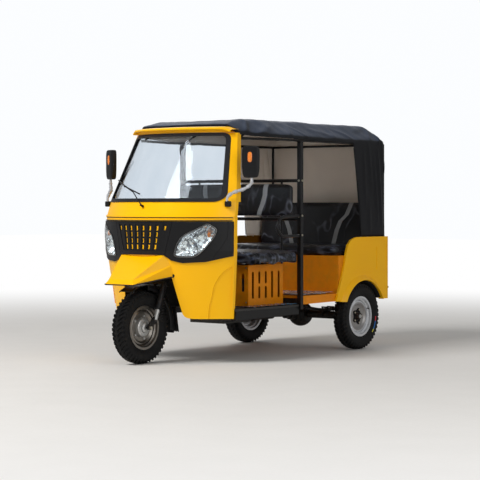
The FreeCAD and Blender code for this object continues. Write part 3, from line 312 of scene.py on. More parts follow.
def yellow_inside(g):
    """The same paint in the shade of the body, with dust on it."""
    place = g.place()
    dust = g.band(g.noise(place, 14.0, 6.0, 0.6), 0.4, 0.75)
    colour = g.blend(dust, srgb(228, 134, 0), srgb(210, 130, 14))
    peel = g.noise(place, 300.0, 2.0)
    return g.surface(Base_Color=colour, Roughness=0.46 + dust * 0.2, Coat_Weight=0.1 - dust * 0.08,
                     Coat_Roughness=0.15, Specular_IOR_Level=0.22, Normal=g.bump(peel, 0.05))


def black_plastic(g):
    place = g.place()
    grain = g.cells(place, 900.0)
    wear = g.noise(place, 30.0, 4.0)
    colour = g.blend(wear, srgb(14, 14, 16), srgb(22, 22, 24))
    return g.surface(Base_Color=colour, Roughness=0.42 + wear * 0.12, Specular_IOR_Level=0.28,
                     Normal=g.bump(grain, 0.2, 0.0003))


def black_steel(g):
    place = g.place()
    patch = g.noise(place, 18.0, 5.0, 0.6)
    dust = g.band(patch, 0.55, 0.8)
    colour = g.blend(dust, srgb(12, 12, 14), srgb(34, 32, 29))
    return g.surface(Base_Color=colour, Roughness=0.36 + dust * 0.35, Coat_Weight=0.12 - dust * 0.12,
                     Specular_IOR_Level=0.25, Normal=g.bump(g.noise(place, 260.0, 2.0), 0.08))


def under_steel(g):
    """Painted steel below the body, with road dust and a little rust."""
    place = g.place()
    patch = g.noise(place, 22.0, 6.0, 0.65)
    dust = g.band(patch, 0.45, 0.75)
    rust = g.band(g.noise(place, 60.0, 5.0, 0.7), 0.6, 0.72)
    colour = g.blend(rust * 0.7, g.blend(dust, srgb(22, 22, 23), srgb(66, 60, 53)), srgb(104, 62, 36))
    return g.surface(Base_Color=colour, Roughness=0.5 + dust * 0.35, Specular_IOR_Level=0.3,
                     Normal=g.bump(patch, 0.2))


def under_black(g):
    """Dull black sheet inside the wheel opening, dusty low down."""
    place = g.place()
    dust = g.band(g.noise(place, 12.0, 6.0, 0.6), 0.5, 0.8)
    return g.surface(Base_Color=g.blend(dust, srgb(10, 10, 11), srgb(34, 32, 29)), Roughness=0.7 + dust * 0.2,
                     Specular_IOR_Level=0.2, Normal=g.bump(g.noise(place, 220.0, 3.0), 0.15))


def glass(g, first, second):
    """Glass with faint upright smears between two casts."""
    smear = g.noise(g.scaled(g.place(), 3.0, 3.0, 0.8), 2.4, 4.0)
    return g.surface(Base_Color=g.blend(smear, first, second), Roughness=0.012 + smear * 0.02,
                     Transmission_Weight=1.0, IOR=1.45)


def clear_glass(g):
    return glass(g, (0.9, 0.96, 0.97, 1), (0.96, 0.99, 1.0, 1))


def screen_glass(g):
    """The same with the faint blue grey cast of laminated glass."""
    return glass(g, (0.60, 0.68, 0.76, 1), (0.74, 0.80, 0.86, 1))


def seal_rubber(g):
    place = g.place()
    pale_tint = g.noise(place, 40.0, 4.0)
    return g.surface(Base_Color=g.blend(pale_tint, srgb(18, 18, 20), srgb(42, 43, 47)),
                     Roughness=0.42 + pale_tint * 0.2, Specular_IOR_Level=0.3,
                     Normal=g.bump(g.noise(place, 380.0, 2.0), 0.12))


def red_lens(g):
    ribs = g.ribs(g.place(), 0, 900.0)
    return g.surface(Base_Color=g.blend(g.band(ribs, -1, 1), srgb(120, 6, 8), srgb(190, 16, 18)),
                     Roughness=0.12, Coat_Weight=0.8, Coat_Roughness=0.03, Normal=g.bump(ribs, 0.5, 0.002))


def amber_lens(g):
    ribs = g.ribs(g.place(), 2, 1100.0)
    return g.surface(Base_Color=g.blend(g.band(ribs, -1, 1), srgb(214, 96, 14), srgb(250, 150, 40)),
                     Roughness=0.14, Coat_Weight=0.7, Coat_Roughness=0.03, Normal=g.bump(ribs, 0.4, 0.001))


def floor_rubber(g):
    place = g.place()
    ribs = g.ribs(place, 1, 420.0)
    dirt = g.noise(place, 24.0, 5.0)
    return g.surface(Base_Color=g.blend(dirt, srgb(26, 26, 27), srgb(62, 58, 54)),
                     Roughness=0.6 + dirt * 0.2, Normal=g.bump(ribs, 0.6, 0.003))


def vinyl(g):
    """Black leather cloth with a fine pebble grain."""
    place = g.place()
    pebble = g.cells(place, 520.0)
    crease = g.noise(g.scaled(place, 1.0, 1.0, 2.0), 14.0, 5.0, 0.6)
    colour = g.blend(crease, srgb(22, 22, 24), srgb(42, 42, 46))
    height = pebble * 0.3 + crease
    return g.surface(Base_Color=colour, Roughness=0.36 + crease * 0.2, Coat_Weight=0.15,
                     Coat_Roughness=0.3, Normal=g.bump(height, 0.35, 0.002))


def wrapped(g, height, colour, rough):
    """Leather cloth under crumpled clear film: painted highlights along thin creases in patches, over a soft
    shine.
    """
    place = g.place()
    crumple = g.noise(g.scaled(place, 1.0, 1.0, 1.5), 9.0, 6.0, 0.55)
    fine = g.noise(g.scaled(place, 0.8, 2.0, 0.55), 9.0, 0.8, 0.5)
    ridge = 1 - g.band(g.maths("ABSOLUTE", fine - 0.5), 0.0, 0.05)
    patch = g.band(g.noise(place, 4.5, 3.0), 0.42, 0.66)
    # painted highlight: the glints of the film's creases are blended into the colour as a pale blue grey
    painted_crease_glint = ridge * patch
    return g.surface(Base_Color=g.blend(painted_crease_glint * 0.24, colour, srgb(168, 174, 192)), Roughness=rough,
                     Coat_Weight=0.32, Coat_Roughness=0.16, Specular_IOR_Level=0.2,
                     Normal=g.bump(crumple + ridge * 0.25 + height, 0.7, 0.010))


def wrapped_vinyl(g):
    """The seats' cloth, with long bluish reflections of the sky painted into its colour along the folds of
    its film.
    """
    place = g.place()
    flow = g.noise(g.scaled(place, 1.0, 2.4, 5.0), 7.0, 5.0, 0.6)
    # painted reflection: the sky's reflections in the folds, blended into the colour
    sheen = g.band(flow, 0.5, 0.68)
    colour = g.blend(sheen * 0.75, srgb(13, 14, 20), srgb(96, 104, 126))
    return wrapped(g, flow * 0.6, colour, 0.36)


def striped(g, line, half):
    """Leather cloth with a grey band each side; the band's middle is worked out from the height."""
    place = g.place()
    across = g.maths("ABSOLUTE", g.along(place, 0))
    height = g.along(place, 2)
    middle = line[0][1]
    for (h0, x0), (h1, x1) in zip(line, line[1:]):
        inputs = {"Value": height, "From Min": h0, "From Max": h1}
        share = g.node("ShaderNodeMapRange", None, inputs, "Result")
        middle = share * (x1 - x0) + middle
    away = g.maths("ABSOLUTE", across - middle)
    on_band = 1 - g.band(away, half - 0.002, half + 0.001)
    tone = g.noise(place, 14.0, 4.0)
    grey = g.blend(g.noise(place, 90.0, 3.0), srgb(132, 135, 137), srgb(160, 163, 165))
    black = g.blend(tone, srgb(12, 12, 15), srgb(26, 27, 32))
    return wrapped(g, on_band * 0.1, g.blend(on_band, black, grey), 0.42)


# columns: height, distance of the band's middle from the centre line
DRIVER_BAND = ((1.09, 0.226), (1.20, 0.280), (1.27, 0.304), (1.38, 0.312))
BENCH_BAND = ((0.85, 0.215), (0.98, 0.249), (1.055, 0.283), (1.112, 0.346), (1.175, 0.375), (1.225, 0.382))


def driver_back_vinyl(g):
    return striped(g, DRIVER_BAND, 0.023)


def bench_back_vinyl(g):
    return striped(g, BENCH_BAND, 0.022)


def canvas(g):
    """Coated black canvas: a fine weave, dust in the folds and a painted bluish sheen of the sky on top."""
    place = g.place()
    weave = g.ribs(place, 0, 2600.0) + g.ribs(place, 1, 2600.0) + g.ribs(place, 2, 2600.0)
    # painted sheen: faces that look up are blended towards a pale blue grey, more strongly where the dust
    # noise is high
    pale_tint = g.band(g.facing(2), 0.45, 1.0)
    dust = g.noise(place, 5.0, 6.0, 0.6)
    cloth = g.blend(dust, srgb(12, 13, 16), srgb(21, 22, 27))
    colour = g.blend(pale_tint * (0.35 + dust * 0.5), cloth, srgb(74, 84, 104))
    return g.surface(Base_Color=colour, Roughness=0.5 + dust * 0.14, Sheen_Weight=0.04, Sheen_Roughness=0.4,
                     Specular_IOR_Level=0.2, Normal=g.bump(weave * 0.2 + dust * 2.0, 0.22, 0.001))


def lining(g):
    """The taupe cloth inside the canopy; its colour is painted light, much paler than the cloth's own taupe,
    to brighten the shaded inside.
    """
    place = g.place()
    weave = g.ribs(place, 0, 2000.0) + g.ribs(place, 2, 2000.0)
    tone = g.noise(place, 6.0, 4.0)
    # painted light: near-white tones in place of the cloth's darker taupe
    return g.surface(Base_Color=g.blend(tone, srgb(226, 216, 205), srgb(236, 227, 216)),
                     Roughness=0.8 + tone * 0.1, Normal=g.bump(weave, 0.25, 0.0008))


def engine_iron(g):
    place = g.place()
    cast = g.noise(place, 70.0, 5.0, 0.7)
    fins = g.ribs(place, 2, 420.0)
    return g.surface(Base_Color=g.blend(cast, srgb(64, 62, 60), srgb(104, 102, 98)), Metallic=0.5,
                     Roughness=0.55 + cast * 0.25, Normal=g.bump(cast + fins * 0.8, 0.5, 0.004))


def tyre_rubber(g):
    place = g.place()
    dust = g.noise(place, 26.0, 5.0, 0.6)
    colour = g.blend(g.band(dust, 0.45, 0.8), srgb(12, 12, 13), srgb(30, 29, 27))
    return g.surface(Base_Color=colour, Roughness=0.6 + dust * 0.2, Specular_IOR_Level=0.25,
                     Normal=g.bump(g.noise(place, 500.0, 2.0), 0.15, 0.0005))


def wheel_silver(g):
    place = g.place()
    flake = g.noise(place, 900.0, 2.0)
    grime = g.band(g.noise(place, 34.0, 6.0, 0.7), 0.55, 0.8)
    y, z = g.along(place, 1) - (FRONT_AXLE_Y + WHEELBASE), g.along(place, 2) - AXLE_HEIGHT
    disc = 1 - g.band((y * y + z * z) ** 0.5, 0.112, 0.122)
    silver = g.blend(flake, srgb(196, 198, 202), srgb(222, 224, 227))
    paint = g.blend(disc * 0.75, silver, srgb(118, 112, 106))
    colour = g.blend(grime, paint, srgb(104, 94, 84))
    return g.surface(Base_Color=colour, Metallic=0.55 - grime * 0.3, Roughness=0.36 + grime * 0.3,
                     Normal=g.bump(g.noise(place, 240.0, 3.0), 0.08))


def bare_steel(g):
    """Unpainted rolled steel with a brown cast."""
    place = g.place()
    roll = g.noise(place, 40.0, 4.0, 0.5)
    return g.surface(Base_Color=g.blend(roll, srgb(118, 113, 107), srgb(146, 141, 134)), Metallic=0.95,
                     Roughness=0.24 + roll * 0.12, Normal=g.bump(roll, 0.04))


def cast_alloy(g):
    place = g.place()
    sand = g.noise(place, 320.0, 3.0)
    return g.surface(Base_Color=g.blend(sand, srgb(168, 168, 166), srgb(204, 204, 202)), Metallic=0.8,
                     Roughness=0.4 + sand * 0.15, Normal=g.bump(sand, 0.3, 0.0006))


def hub_iron(g):
    place = g.place()
    scale = g.noise(place, 60.0, 6.0, 0.7)
    colour = g.blend(g.band(scale, 0.4, 0.7), srgb(30, 27, 26), srgb(86, 62, 48))
    return g.surface(Base_Color=colour, Metallic=0.4, Roughness=0.6 + scale * 0.2,
                     Normal=g.bump(scale, 0.4, 0.0015))


def bright_chrome(g):
    haze = g.noise(g.place(), 60.0, 3.0)
    return g.surface(Base_Color=g.blend(haze, srgb(206, 210, 214), srgb(236, 238, 240)), Metallic=1.0,
                     Roughness=0.06 + haze * 0.08)


def facet_chrome(g):
    """Bright reflector metal pressed into small facets, with darker joints."""
    facets = g.cells(g.place(), 44.0)
    return g.surface(Base_Color=g.blend(g.band(facets, 0.45, 0.8), srgb(246, 247, 248), srgb(130, 133, 140)),
                     Metallic=0.9, Roughness=0.12 + facets * 0.08, Normal=g.bump(facets, 0.5, 0.004))


def zinc(g):
    tone = g.noise(g.place(), 200.0, 3.0)
    return g.surface(Base_Color=g.blend(tone, srgb(168, 160, 140), srgb(210, 204, 190)), Metallic=0.9,
                     Roughness=0.3 + tone * 0.15)


def packing_film(g):
    """Crumpled clear film: a soft grey cast with painted highlights on its creases."""
    place = g.place()
    crumple = g.noise(g.scaled(place, 1.0, 1.0, 1.6), 34.0, 6.0, 0.65)
    cast = g.node("ShaderNodeBsdfTransparent", None, {"Color": (0.93, 0.94, 0.96, 1)})
    # painted highlight: the gloss layer is paler, and mixed in more, where the crumple noise is high
    gloss = g.surface(Base_Color=g.blend(crumple, srgb(150, 152, 160), srgb(235, 238, 245)), Roughness=0.12,
                      Coat_Weight=0.6, Normal=g.bump(crumple, 0.9, 0.006))
    share = g.band(crumple, 0.4, 0.75) * 0.5 + 0.12
    return g.node("ShaderNodeMixShader", None, {0: share, 1: cast, 2: gloss})


def silver_wrap(g):
    crumple = g.noise(g.place(), 60.0, 6.0, 0.7)
    return g.surface(Base_Color=g.blend(crumple, srgb(120, 120, 124), srgb(236, 238, 242)), Metallic=0.35,
                     Roughness=0.24 + crumple * 0.2, Normal=g.bump(crumple, 1.0, 0.006))


def floor_film(g):
    """Loose film with a silver and brown cast."""
    place = g.place()
    crumple = g.noise(g.scaled(place, 2.0, 1.0, 2.0), 26.0, 6.0, 0.6)
    colour = g.blend(g.band(crumple, 0.35, 0.65), srgb(96, 84, 84), srgb(206, 208, 216))
    return g.surface(Base_Color=colour, Roughness=0.22, Coat_Weight=0.4, Normal=g.bump(crumple, 0.8, 0.004))


def sill_film(g):
    """Loose film with a blue end."""
    place = g.place()
    crumple = g.noise(g.scaled(place, 2.0, 1.0, 2.0), 26.0, 6.0, 0.6)
    grey = g.blend(g.band(crumple, 0.4, 0.7), srgb(60, 60, 66), srgb(168, 170, 178))
    blue = g.blend(crumple, srgb(40, 108, 160), srgb(120, 178, 214))
    station = g.along(place, 1)
    colour = g.blend(g.band(station, BLUE_FILM[0], BLUE_FILM[1]), grey, blue)
    return g.surface(Base_Color=colour, Roughness=0.24, Coat_Weight=0.4, Normal=g.bump(crumple, 0.8, 0.004))


def tyre_marks(g):
    """Red, blue and yellow painted marks, one after the other down the sidewall."""
    fall = TYRE_RADIUS - g.along(g.place(), 2)
    colour = g.blend(g.band(fall, 0.046, 0.048), srgb(196, 40, 52), srgb(36, 110, 188))
    colour = g.blend(g.band(fall, 0.112, 0.114), colour, srgb(206, 200, 60))
    return g.surface(Base_Color=colour, Roughness=0.5 + g.noise(g.place(), 120.0, 3.0) * 0.2)


def mirror_silver(g):
    haze = g.noise(g.place(), 12.0, 3.0)
    return g.surface(Base_Color=g.blend(haze, srgb(214, 220, 224), srgb(228, 233, 236)), Metallic=1.0,
                     Roughness=0.02 + haze * 0.02)


FINISHES = {build.__name__: finish(build.__name__, build) for build in (
    yellow_paint, quarter_paint, yellow_inside, black_plastic, black_steel, under_steel, under_black,
    clear_glass, screen_glass, seal_rubber, red_lens, amber_lens, floor_rubber, vinyl, wrapped_vinyl,
    driver_back_vinyl, bench_back_vinyl, canvas, lining, engine_iron, tyre_rubber, tyre_marks, wheel_silver,
    bare_steel, cast_alloy, hub_iron, bright_chrome, facet_chrome, zinc, packing_film, floor_film, sill_film,
    silver_wrap, mirror_silver)}

NODE_FINISHES = {
    "yellow_paint": "front_cowl front_fender roof_visor rear_panel",
    "quarter_paint": "rear_quarter_left rear_quarter_right",
    "yellow_inside": "driver_seat_box bench_base passenger_floor",
    "black_plastic": "front_mask mirror_left mirror_right dashboard front_mudguard wiper",
    "black_steel": "side_posts partition_frame canopy_frame side_sills handlebar foot_brake",
    "under_steel": "chassis_frame cross_members head_tube rear_axle leaf_springs rear_shocks drive_shaft "
                   "exhaust fork",
    "screen_glass": "windshield_glass",
    "clear_glass": "headlamp_left headlamp_right",
    "seal_rubber": "windshield_seal",
    "red_lens": "tail_lamps",
    "floor_rubber": "driver_floor",
    "vinyl": "driver_cushion driver_backrest passenger_cushion passenger_backrest",
    "canvas": "canopy",
    "engine_iron": "engine_block",
    "tyre_rubber": "front_tyre rear_tyre_left rear_tyre_right",
    "wheel_silver": "rear_rim_left rear_rim_right",
    "bare_steel": "front_rim",
    "cast_alloy": "front_hub",
    "hub_iron": "rear_hub_left rear_hub_right",
}


def dress_nodes():
    for name, nodes in NODE_FINISHES.items():
        for node in nodes.split():
            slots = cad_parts[node].material_slots
            for place in slots:
                place.material = FINISHES[name]
            if not slots:
                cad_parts[node].data.materials.append(FINISHES[name])


dress_nodes()


# Meshes from grids

def grid_mesh(name, points, close_rows=False, close_columns=False, sharp=35):
    """A mesh over a grid of points (rows, columns, 3); a closed direction joins its last line to its first.

    The point of row i and column j is points[i, j], and the face (i, j) goes round points[i, j],
    points[i + 1, j], points[i + 1, j + 1] and points[i, j + 1].
    """
    rows, columns = points.shape[:2]
    index = np.arange(rows * columns).reshape(rows, columns)
    if close_rows:
        index = np.vstack([index, index[:1]])
    if close_columns:
        index = np.hstack([index, index[:, :1]])
    corners = (index[:-1, :-1], index[1:, :-1], index[1:, 1:], index[:-1, 1:])
    faces = np.stack(corners, -1).reshape(-1, 4)
    mesh = bpy.data.meshes.new(name)
    mesh.from_pydata(points.reshape(-1, 3).tolist(), [], faces.tolist())
    return smooth(mesh, sharp)


def smooth(mesh, sharp=35):
    mesh.update()
    mesh.shade_smooth()
    mesh.set_sharp_from_angle(angle=math.radians(sharp))
    return mesh


def piece(mesh, look, body="body", replaces=()):
    """One named piece of the object: its mesh, its finish, the body it rides on and what it stands for."""
    made = bpy.data.objects.new(mesh.name, mesh)
    bpy.context.scene.collection.objects.link(made)
    for name in look.split():
        mesh.materials.append(FINISHES[name])
    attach(made, body)
    if replaces:
        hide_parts(*replaces)
    return made


def walled(made, thickness, offset=0.0):
    """The thickness of a sheet: about its surface, or inwards from it where the offset is -1."""
    wall = made.modifiers.new("wall", "SOLIDIFY")
    wall.thickness, wall.offset = thickness, offset
    return wall


def ramp(value, low, high):
    """0 below low, 1 above high, smooth between, for whole arrays."""
    t = np.clip((value - low) / (high - low), 0, 1)
    return t * t * (3 - 2 * t)


# Tyres

TREAD_HALF = 0.047
TYRE_HALF_WIDTH = 0.058
BEAD_HALF = 0.038
BEAD_RADIUS = 0.169
SEAT_RADIUS = 0.1528
SHOULDER_DROP = 0.0065
LUG_COUNT = 46
LUG_DEPTH = 0.009
# columns: share of a lug's pitch, 1 on the lug and 0 in the gap
LUG_STEPS = np.array([(0.0, 0.0), (0.05, 1.0), (0.27, 1.0), (0.50, 1.0), (0.55, 0.0), (0.78, 0.0)])
LUG_SLANT = 3.4


def sidewall_x(share):
    """Half width of a tyre, from the bead at share 0 to the shoulder at share 1, bulging between."""
    bulge = TYRE_HALF_WIDTH - (BEAD_HALF + TREAD_HALF) / 2
    return BEAD_HALF + (TREAD_HALF - BEAD_HALF) * share + 4 * bulge * share * (1 - share)


def tyre_points(x_centre, station):
    """Radius r and offset x of the section, carried round the axle by an angle.

    The section goes from bead over sidewall and crown to the other bead and back along the rim seat. Between
    lugs the radius drops by the lug depth over the shoulders. The angle is sheared with |x|, so that
    the lugs slant and their edges still lie along the grid's lines.
    """
    t = np.linspace(0, 1, 15)
    side_x = sidewall_x(t)
    side_r = BEAD_RADIUS + (TYRE_RADIUS - SHOULDER_DROP - BEAD_RADIUS) * t
    crown_x = np.linspace(TREAD_HALF, -TREAD_HALF, 27)[1:-1]
    crown_r = TYRE_RADIUS - SHOULDER_DROP * (crown_x / TREAD_HALF) ** 2
    seat_x = np.array([-BEAD_HALF, -BEAD_HALF / 3, BEAD_HALF / 3, BEAD_HALF])
    x = np.concatenate([side_x, crown_x, -side_x[::-1], seat_x])
    r = np.concatenate([side_r, crown_r, side_r[::-1], np.full(4, SEAT_RADIUS)])
    on_lug = np.tile(LUG_STEPS[:, 1], LUG_COUNT)[:, None]
    pitch = 2 * math.pi / LUG_COUNT
    angle = (np.repeat(np.arange(LUG_COUNT), len(LUG_STEPS)) + np.tile(LUG_STEPS[:, 0], LUG_COUNT)) * pitch
    over = ramp(np.abs(x), 0.010, 0.013) * ramp(r, 0.238, 0.246)
    radius = r - LUG_DEPTH * over * (1 - on_lug)
    offset = x * (1 - 0.05 * over * (1 - on_lug))
    shear = LUG_SLANT * np.abs(x) * ramp(r, 0.2, 0.26)
    turn = angle[:, None] + shear[None, :]
    points = np.stack([x_centre + offset + 0 * turn, station + radius * np.sin(turn),
                       AXLE_HEIGHT + radius * np.cos(turn)], -1)
    return placed(points)


def make_tyres():
    for name, node, body, x, station in (
            ("front_tyre_treaded", "front_tyre", "front_wheel", 0.0, 0.0),
            ("rear_tyre_left_treaded", "rear_tyre_left", "rear_wheel_left", REAR_WHEEL_X, WHEELBASE),
            ("rear_tyre_right_treaded", "rear_tyre_right", "rear_wheel_right", -REAR_WHEEL_X, WHEELBASE)):
        mesh = grid_mesh(name, tyre_points(x, station), True, True, 40)
        piece(mesh, "tyre_rubber", body, [node])


make_tyres()


# Helpers for shapes on the front panel

PLAN_RADIUS = 0.766
PANEL_HEIGHTS = np.array([0.340, 0.850, 1.106, 1.215, 1.740])
PANEL_SETBACKS = np.array([0.110, 0.0, 0.0, 0.048, 0.351])


def on_panel(x, height, proud=0.0):
    """Points on the front panel: each plan section is an arc of one radius, set back by its height."""
    x, height = np.broadcast_arrays(np.asarray(x, float), np.asarray(height, float))
    station = np.interp(height, PANEL_HEIGHTS, PANEL_SETBACKS) + PLAN_RADIUS
    station = station - np.sqrt((PLAN_RADIUS + proud) ** 2 - x * x)
    return np.stack([x, station, height], -1)


def spline(points, count, closed=False):
    """Points evenly spread in parameter along a Catmull-Rom curve through the given ones."""
    points = np.asarray(points, float)
    if closed:
        padded = np.vstack([points[-1:], points, points[:2]])
        spans = len(points)
    else:
        padded = np.vstack([2 * points[:1] - points[1:2], points, 2 * points[-1:] - points[-2:-1]])
        spans = len(points) - 1
    place = np.linspace(0, spans, count, endpoint=not closed)
    span = np.minimum(place.astype(int), spans - 1)
    t = (place - span)[:, None]
    a, b, c, d = (padded[span + i] for i in range(4))
    square, cube = 2 * a - 5 * b + 4 * c - d, 3 * b - a - 3 * c + d
    return 0.5 * (2 * b + (c - a) * t + square * t ** 2 + cube * t ** 3)


def tube_mesh(name, path, radius, sides=14, closed=False):
    """A circle carried along a path: each ring lies across the path, and the ends are closed by a point."""
    path = np.asarray(path, float)
    if closed:
        along = np.roll(path, -1, 0) - np.roll(path, 1, 0)
    else:
        along = np.gradient(path, axis=0)
    along /= np.linalg.norm(along, axis=1, keepdims=True)
    reference = np.array([0.0, 0.0, 1.0]) if abs(along[:, 2]).max() < 0.95 else np.array([0.31, 0.89, 0.33])
    across = np.cross(along, reference)
    across /= np.linalg.norm(across, axis=1, keepdims=True)
    over = np.cross(across, along)
    angle = np.linspace(0, 2 * math.pi, sides, endpoint=False)
    size = np.broadcast_to(np.asarray(radius, float).reshape(-1, 1), (len(path), 1))[:, :, None]
    ring = np.cos(angle)[None, :, None] * across[:, None, :] + np.sin(angle)[None, :, None] * over[:, None, :]
    points = path[:, None, :] + ring * size
    if not closed:
        points = np.concatenate([np.repeat(path[:1, None, :], sides, 1), points,
                                 np.repeat(path[-1:, None, :], sides, 1)])
    return merged(grid_mesh(name, points, closed, True, 50))


def strip(name, path, radius, look, sides=8, body="body", closed=False):
    """A tube along a path, as a piece."""
    return piece(tube_mesh(name, placed(path), radius, sides, closed), look, body)


def merged(mesh):
    """The mesh with doubled points joined, and its faces turned outwards."""
    work = bmesh.new()
    work.from_mesh(mesh)
    bmesh.ops.remove_doubles(work, verts=work.verts, dist=1e-6)
    bmesh.ops.recalc_face_normals(work, faces=work.faces)
    work.to_mesh(mesh)
    work.free()
    return mesh


def capped(name, points, sharp=40):
    """The mesh of a grid of rings that draws together to a point at both ends."""
    return merged(grid_mesh(name, placed(points), False, True, sharp))


def with_ends(points, axis):
    """The grid with a line added before its first and after its last, each drawn together to one point."""
    around = 1 - axis
    first, last = (points.take([i], axis).mean(around, keepdims=True).repeat(points.shape[around], around)
                   for i in (0, -1))
    return np.concatenate([first, points, last], axis)


def blob_points(centre, half, squareness=0.4, rows=40, columns=56):
    """A rounded block: latitude and longitude, each sine and cosine raised to the squareness."""
    def power(value, exponent):
        return np.sign(value) * np.abs(value) ** exponent
    squareness = np.broadcast_to(squareness, 2)
    lat = np.linspace(-math.pi / 2, math.pi / 2, rows)[:, None]
    lon = np.linspace(0, 2 * math.pi, columns, endpoint=False)[None, :]
    ring = power(np.cos(lat), squareness[1])
    unit = np.stack([ring * power(np.cos(lon), squareness[0]), ring * power(np.sin(lon), squareness[0]),
                     np.repeat(power(np.sin(lat), squareness[1]), columns, 1)], -1)
    return np.asarray(centre) + unit * np.asarray(half)


# Canopy

# columns: half width and station of the edge, height of the wall's foot, station of the foot, eave height,
# half width, station and height of the hip
CANOPY_TABLE = np.array([
    (0.000, 0.498, 1.779, 0.498, 1.784, 0.000, 0.672, 1.849),
    (0.250, 0.500, 1.779, 0.500, 1.784, 0.250, 0.674, 1.850),
    (0.425, 0.507, 1.777, 0.507, 1.781, 0.380, 0.682, 1.853),
    (0.506, 0.560, 1.716, 0.560, 1.726, 0.398, 0.722, 1.858),
    (0.545, 0.720, 1.703, 0.720, 1.716, 0.401, 0.800, 1.860),
    (0.580, 0.900, 1.698, 0.900, 1.712, 0.402, 0.930, 1.862),
    (0.600, 1.050, 1.696, 1.050, 1.710, 0.402, 1.060, 1.862),
    (0.600, 1.300, 1.692, 1.300, 1.706, 0.402, 1.300, 1.862),
    (0.600, 1.600, 1.690, 1.600, 1.703, 0.402, 1.600, 1.861),
    (0.600, 1.965, 1.690, 1.965, 1.702, 0.402, 1.930, 1.860),
    (0.600, 1.971, 0.929, 2.083, 1.702, 0.402, 1.936, 1.860),
    (0.600, 2.150, 0.929, 2.200, 1.702, 0.402, 2.090, 1.859),
    (0.600, 2.330, 0.929, 2.345, 1.702, 0.402, 2.280, 1.866),
    (0.598, 2.425, 0.929, 2.440, 1.702, 0.402, 2.370, 1.868),
    (0.580, 2.455, 0.929, 2.465, 1.702, 0.392, 2.412, 1.862),
    (0.545, 2.462, 0.929, 2.470, 1.702, 0.360, 2.418, 1.858),
    (0.300, 2.464, 0.929, 2.471, 1.702, 0.200, 2.420, 1.856),
    (0.000, 2.464, 0.929, 2.471, 1.702, 0.000, 2.420, 1.856),
])
FLAP_COLUMN = 10
SPINE_ENDS = (0.80, 2.25)
# columns: station and height of the roof's middle line
SPINE = np.array([(0.80, 1.851), (1.00, 1.869), (1.25, 1.884), (2.10, 1.882), (2.25, 1.872)])
COLUMNS_PER_ROW = 14
WALL_ROWS, ROLL_ROWS, SLOPE_ROWS, TOP_ROWS = 34, 8, 16, 18
# station of a crest of the cloth midway between two bows, half the run to the next crest, drop to the bow
CREST_STATION, CREST_HALF_RUN, BOW_DROP = 0.92, 0.29, 0.006
CANVAS_WALL = 0.003
ROLL_SHARE, ROLL_RISE = 0.035, 0.03
# columns: station and height of a fold's start, the same of its end, half width, how far it stands out
SIDE_FOLDS = np.array([
    (2.33, 1.66, 2.40, 1.02, 0.014, 0.010), (2.27, 1.60, 2.34, 1.05, 0.012, 0.008),
    (2.19, 1.70, 2.25, 1.30, 0.016, 0.007), (2.12, 1.66, 2.16, 1.15, 0.014, 0.006),
    (2.38, 1.78, 2.44, 1.45, 0.012, 0.010), (2.20, 1.25, 2.22, 0.95, 0.020, 0.006),
])
ROOF_FOLDS = np.array([
    (0.60, 1.73, 0.76, 1.85, 0.016, 0.010), (0.72, 1.72, 1.00, 1.82, 0.020, 0.007),
    (1.22, 1.83, 1.34, 1.72, 0.016, 0.007), (1.22, 1.83, 1.10, 1.73, 0.016, 0.006),
    (1.45, 1.80, 1.78, 1.74, 0.018, 0.006), (1.80, 1.83, 1.70, 1.72, 0.014, 0.006),
    (1.82, 1.83, 1.98, 1.74, 0.018, 0.007), (2.10, 1.80, 2.32, 1.84, 0.018, 0.007),
    (2.24, 1.74, 2.38, 1.83, 0.014, 0.008), (2.34, 1.70, 2.42, 1.80, 0.012, 0.009),
])


def fold_relief(station, height, folds):
    """Sum of long soft ridges: each falls off with the distance from its line."""
    relief = np.zeros_like(station)
    for s0, h0, s1, h1, half, rise in folds:
        run, lift = s1 - s0, h1 - h0
        share = np.clip(((station - s0) * run + (height - h0) * lift) / (run ** 2 + lift ** 2), 0, 1)
        away = np.hypot(station - s0 - share * run, height - h0 - share * lift)
        relief += rise * np.exp(-(away / half) ** 2) * np.sqrt(np.clip(4 * share * (1 - share), 0.05, 1))
    return relief


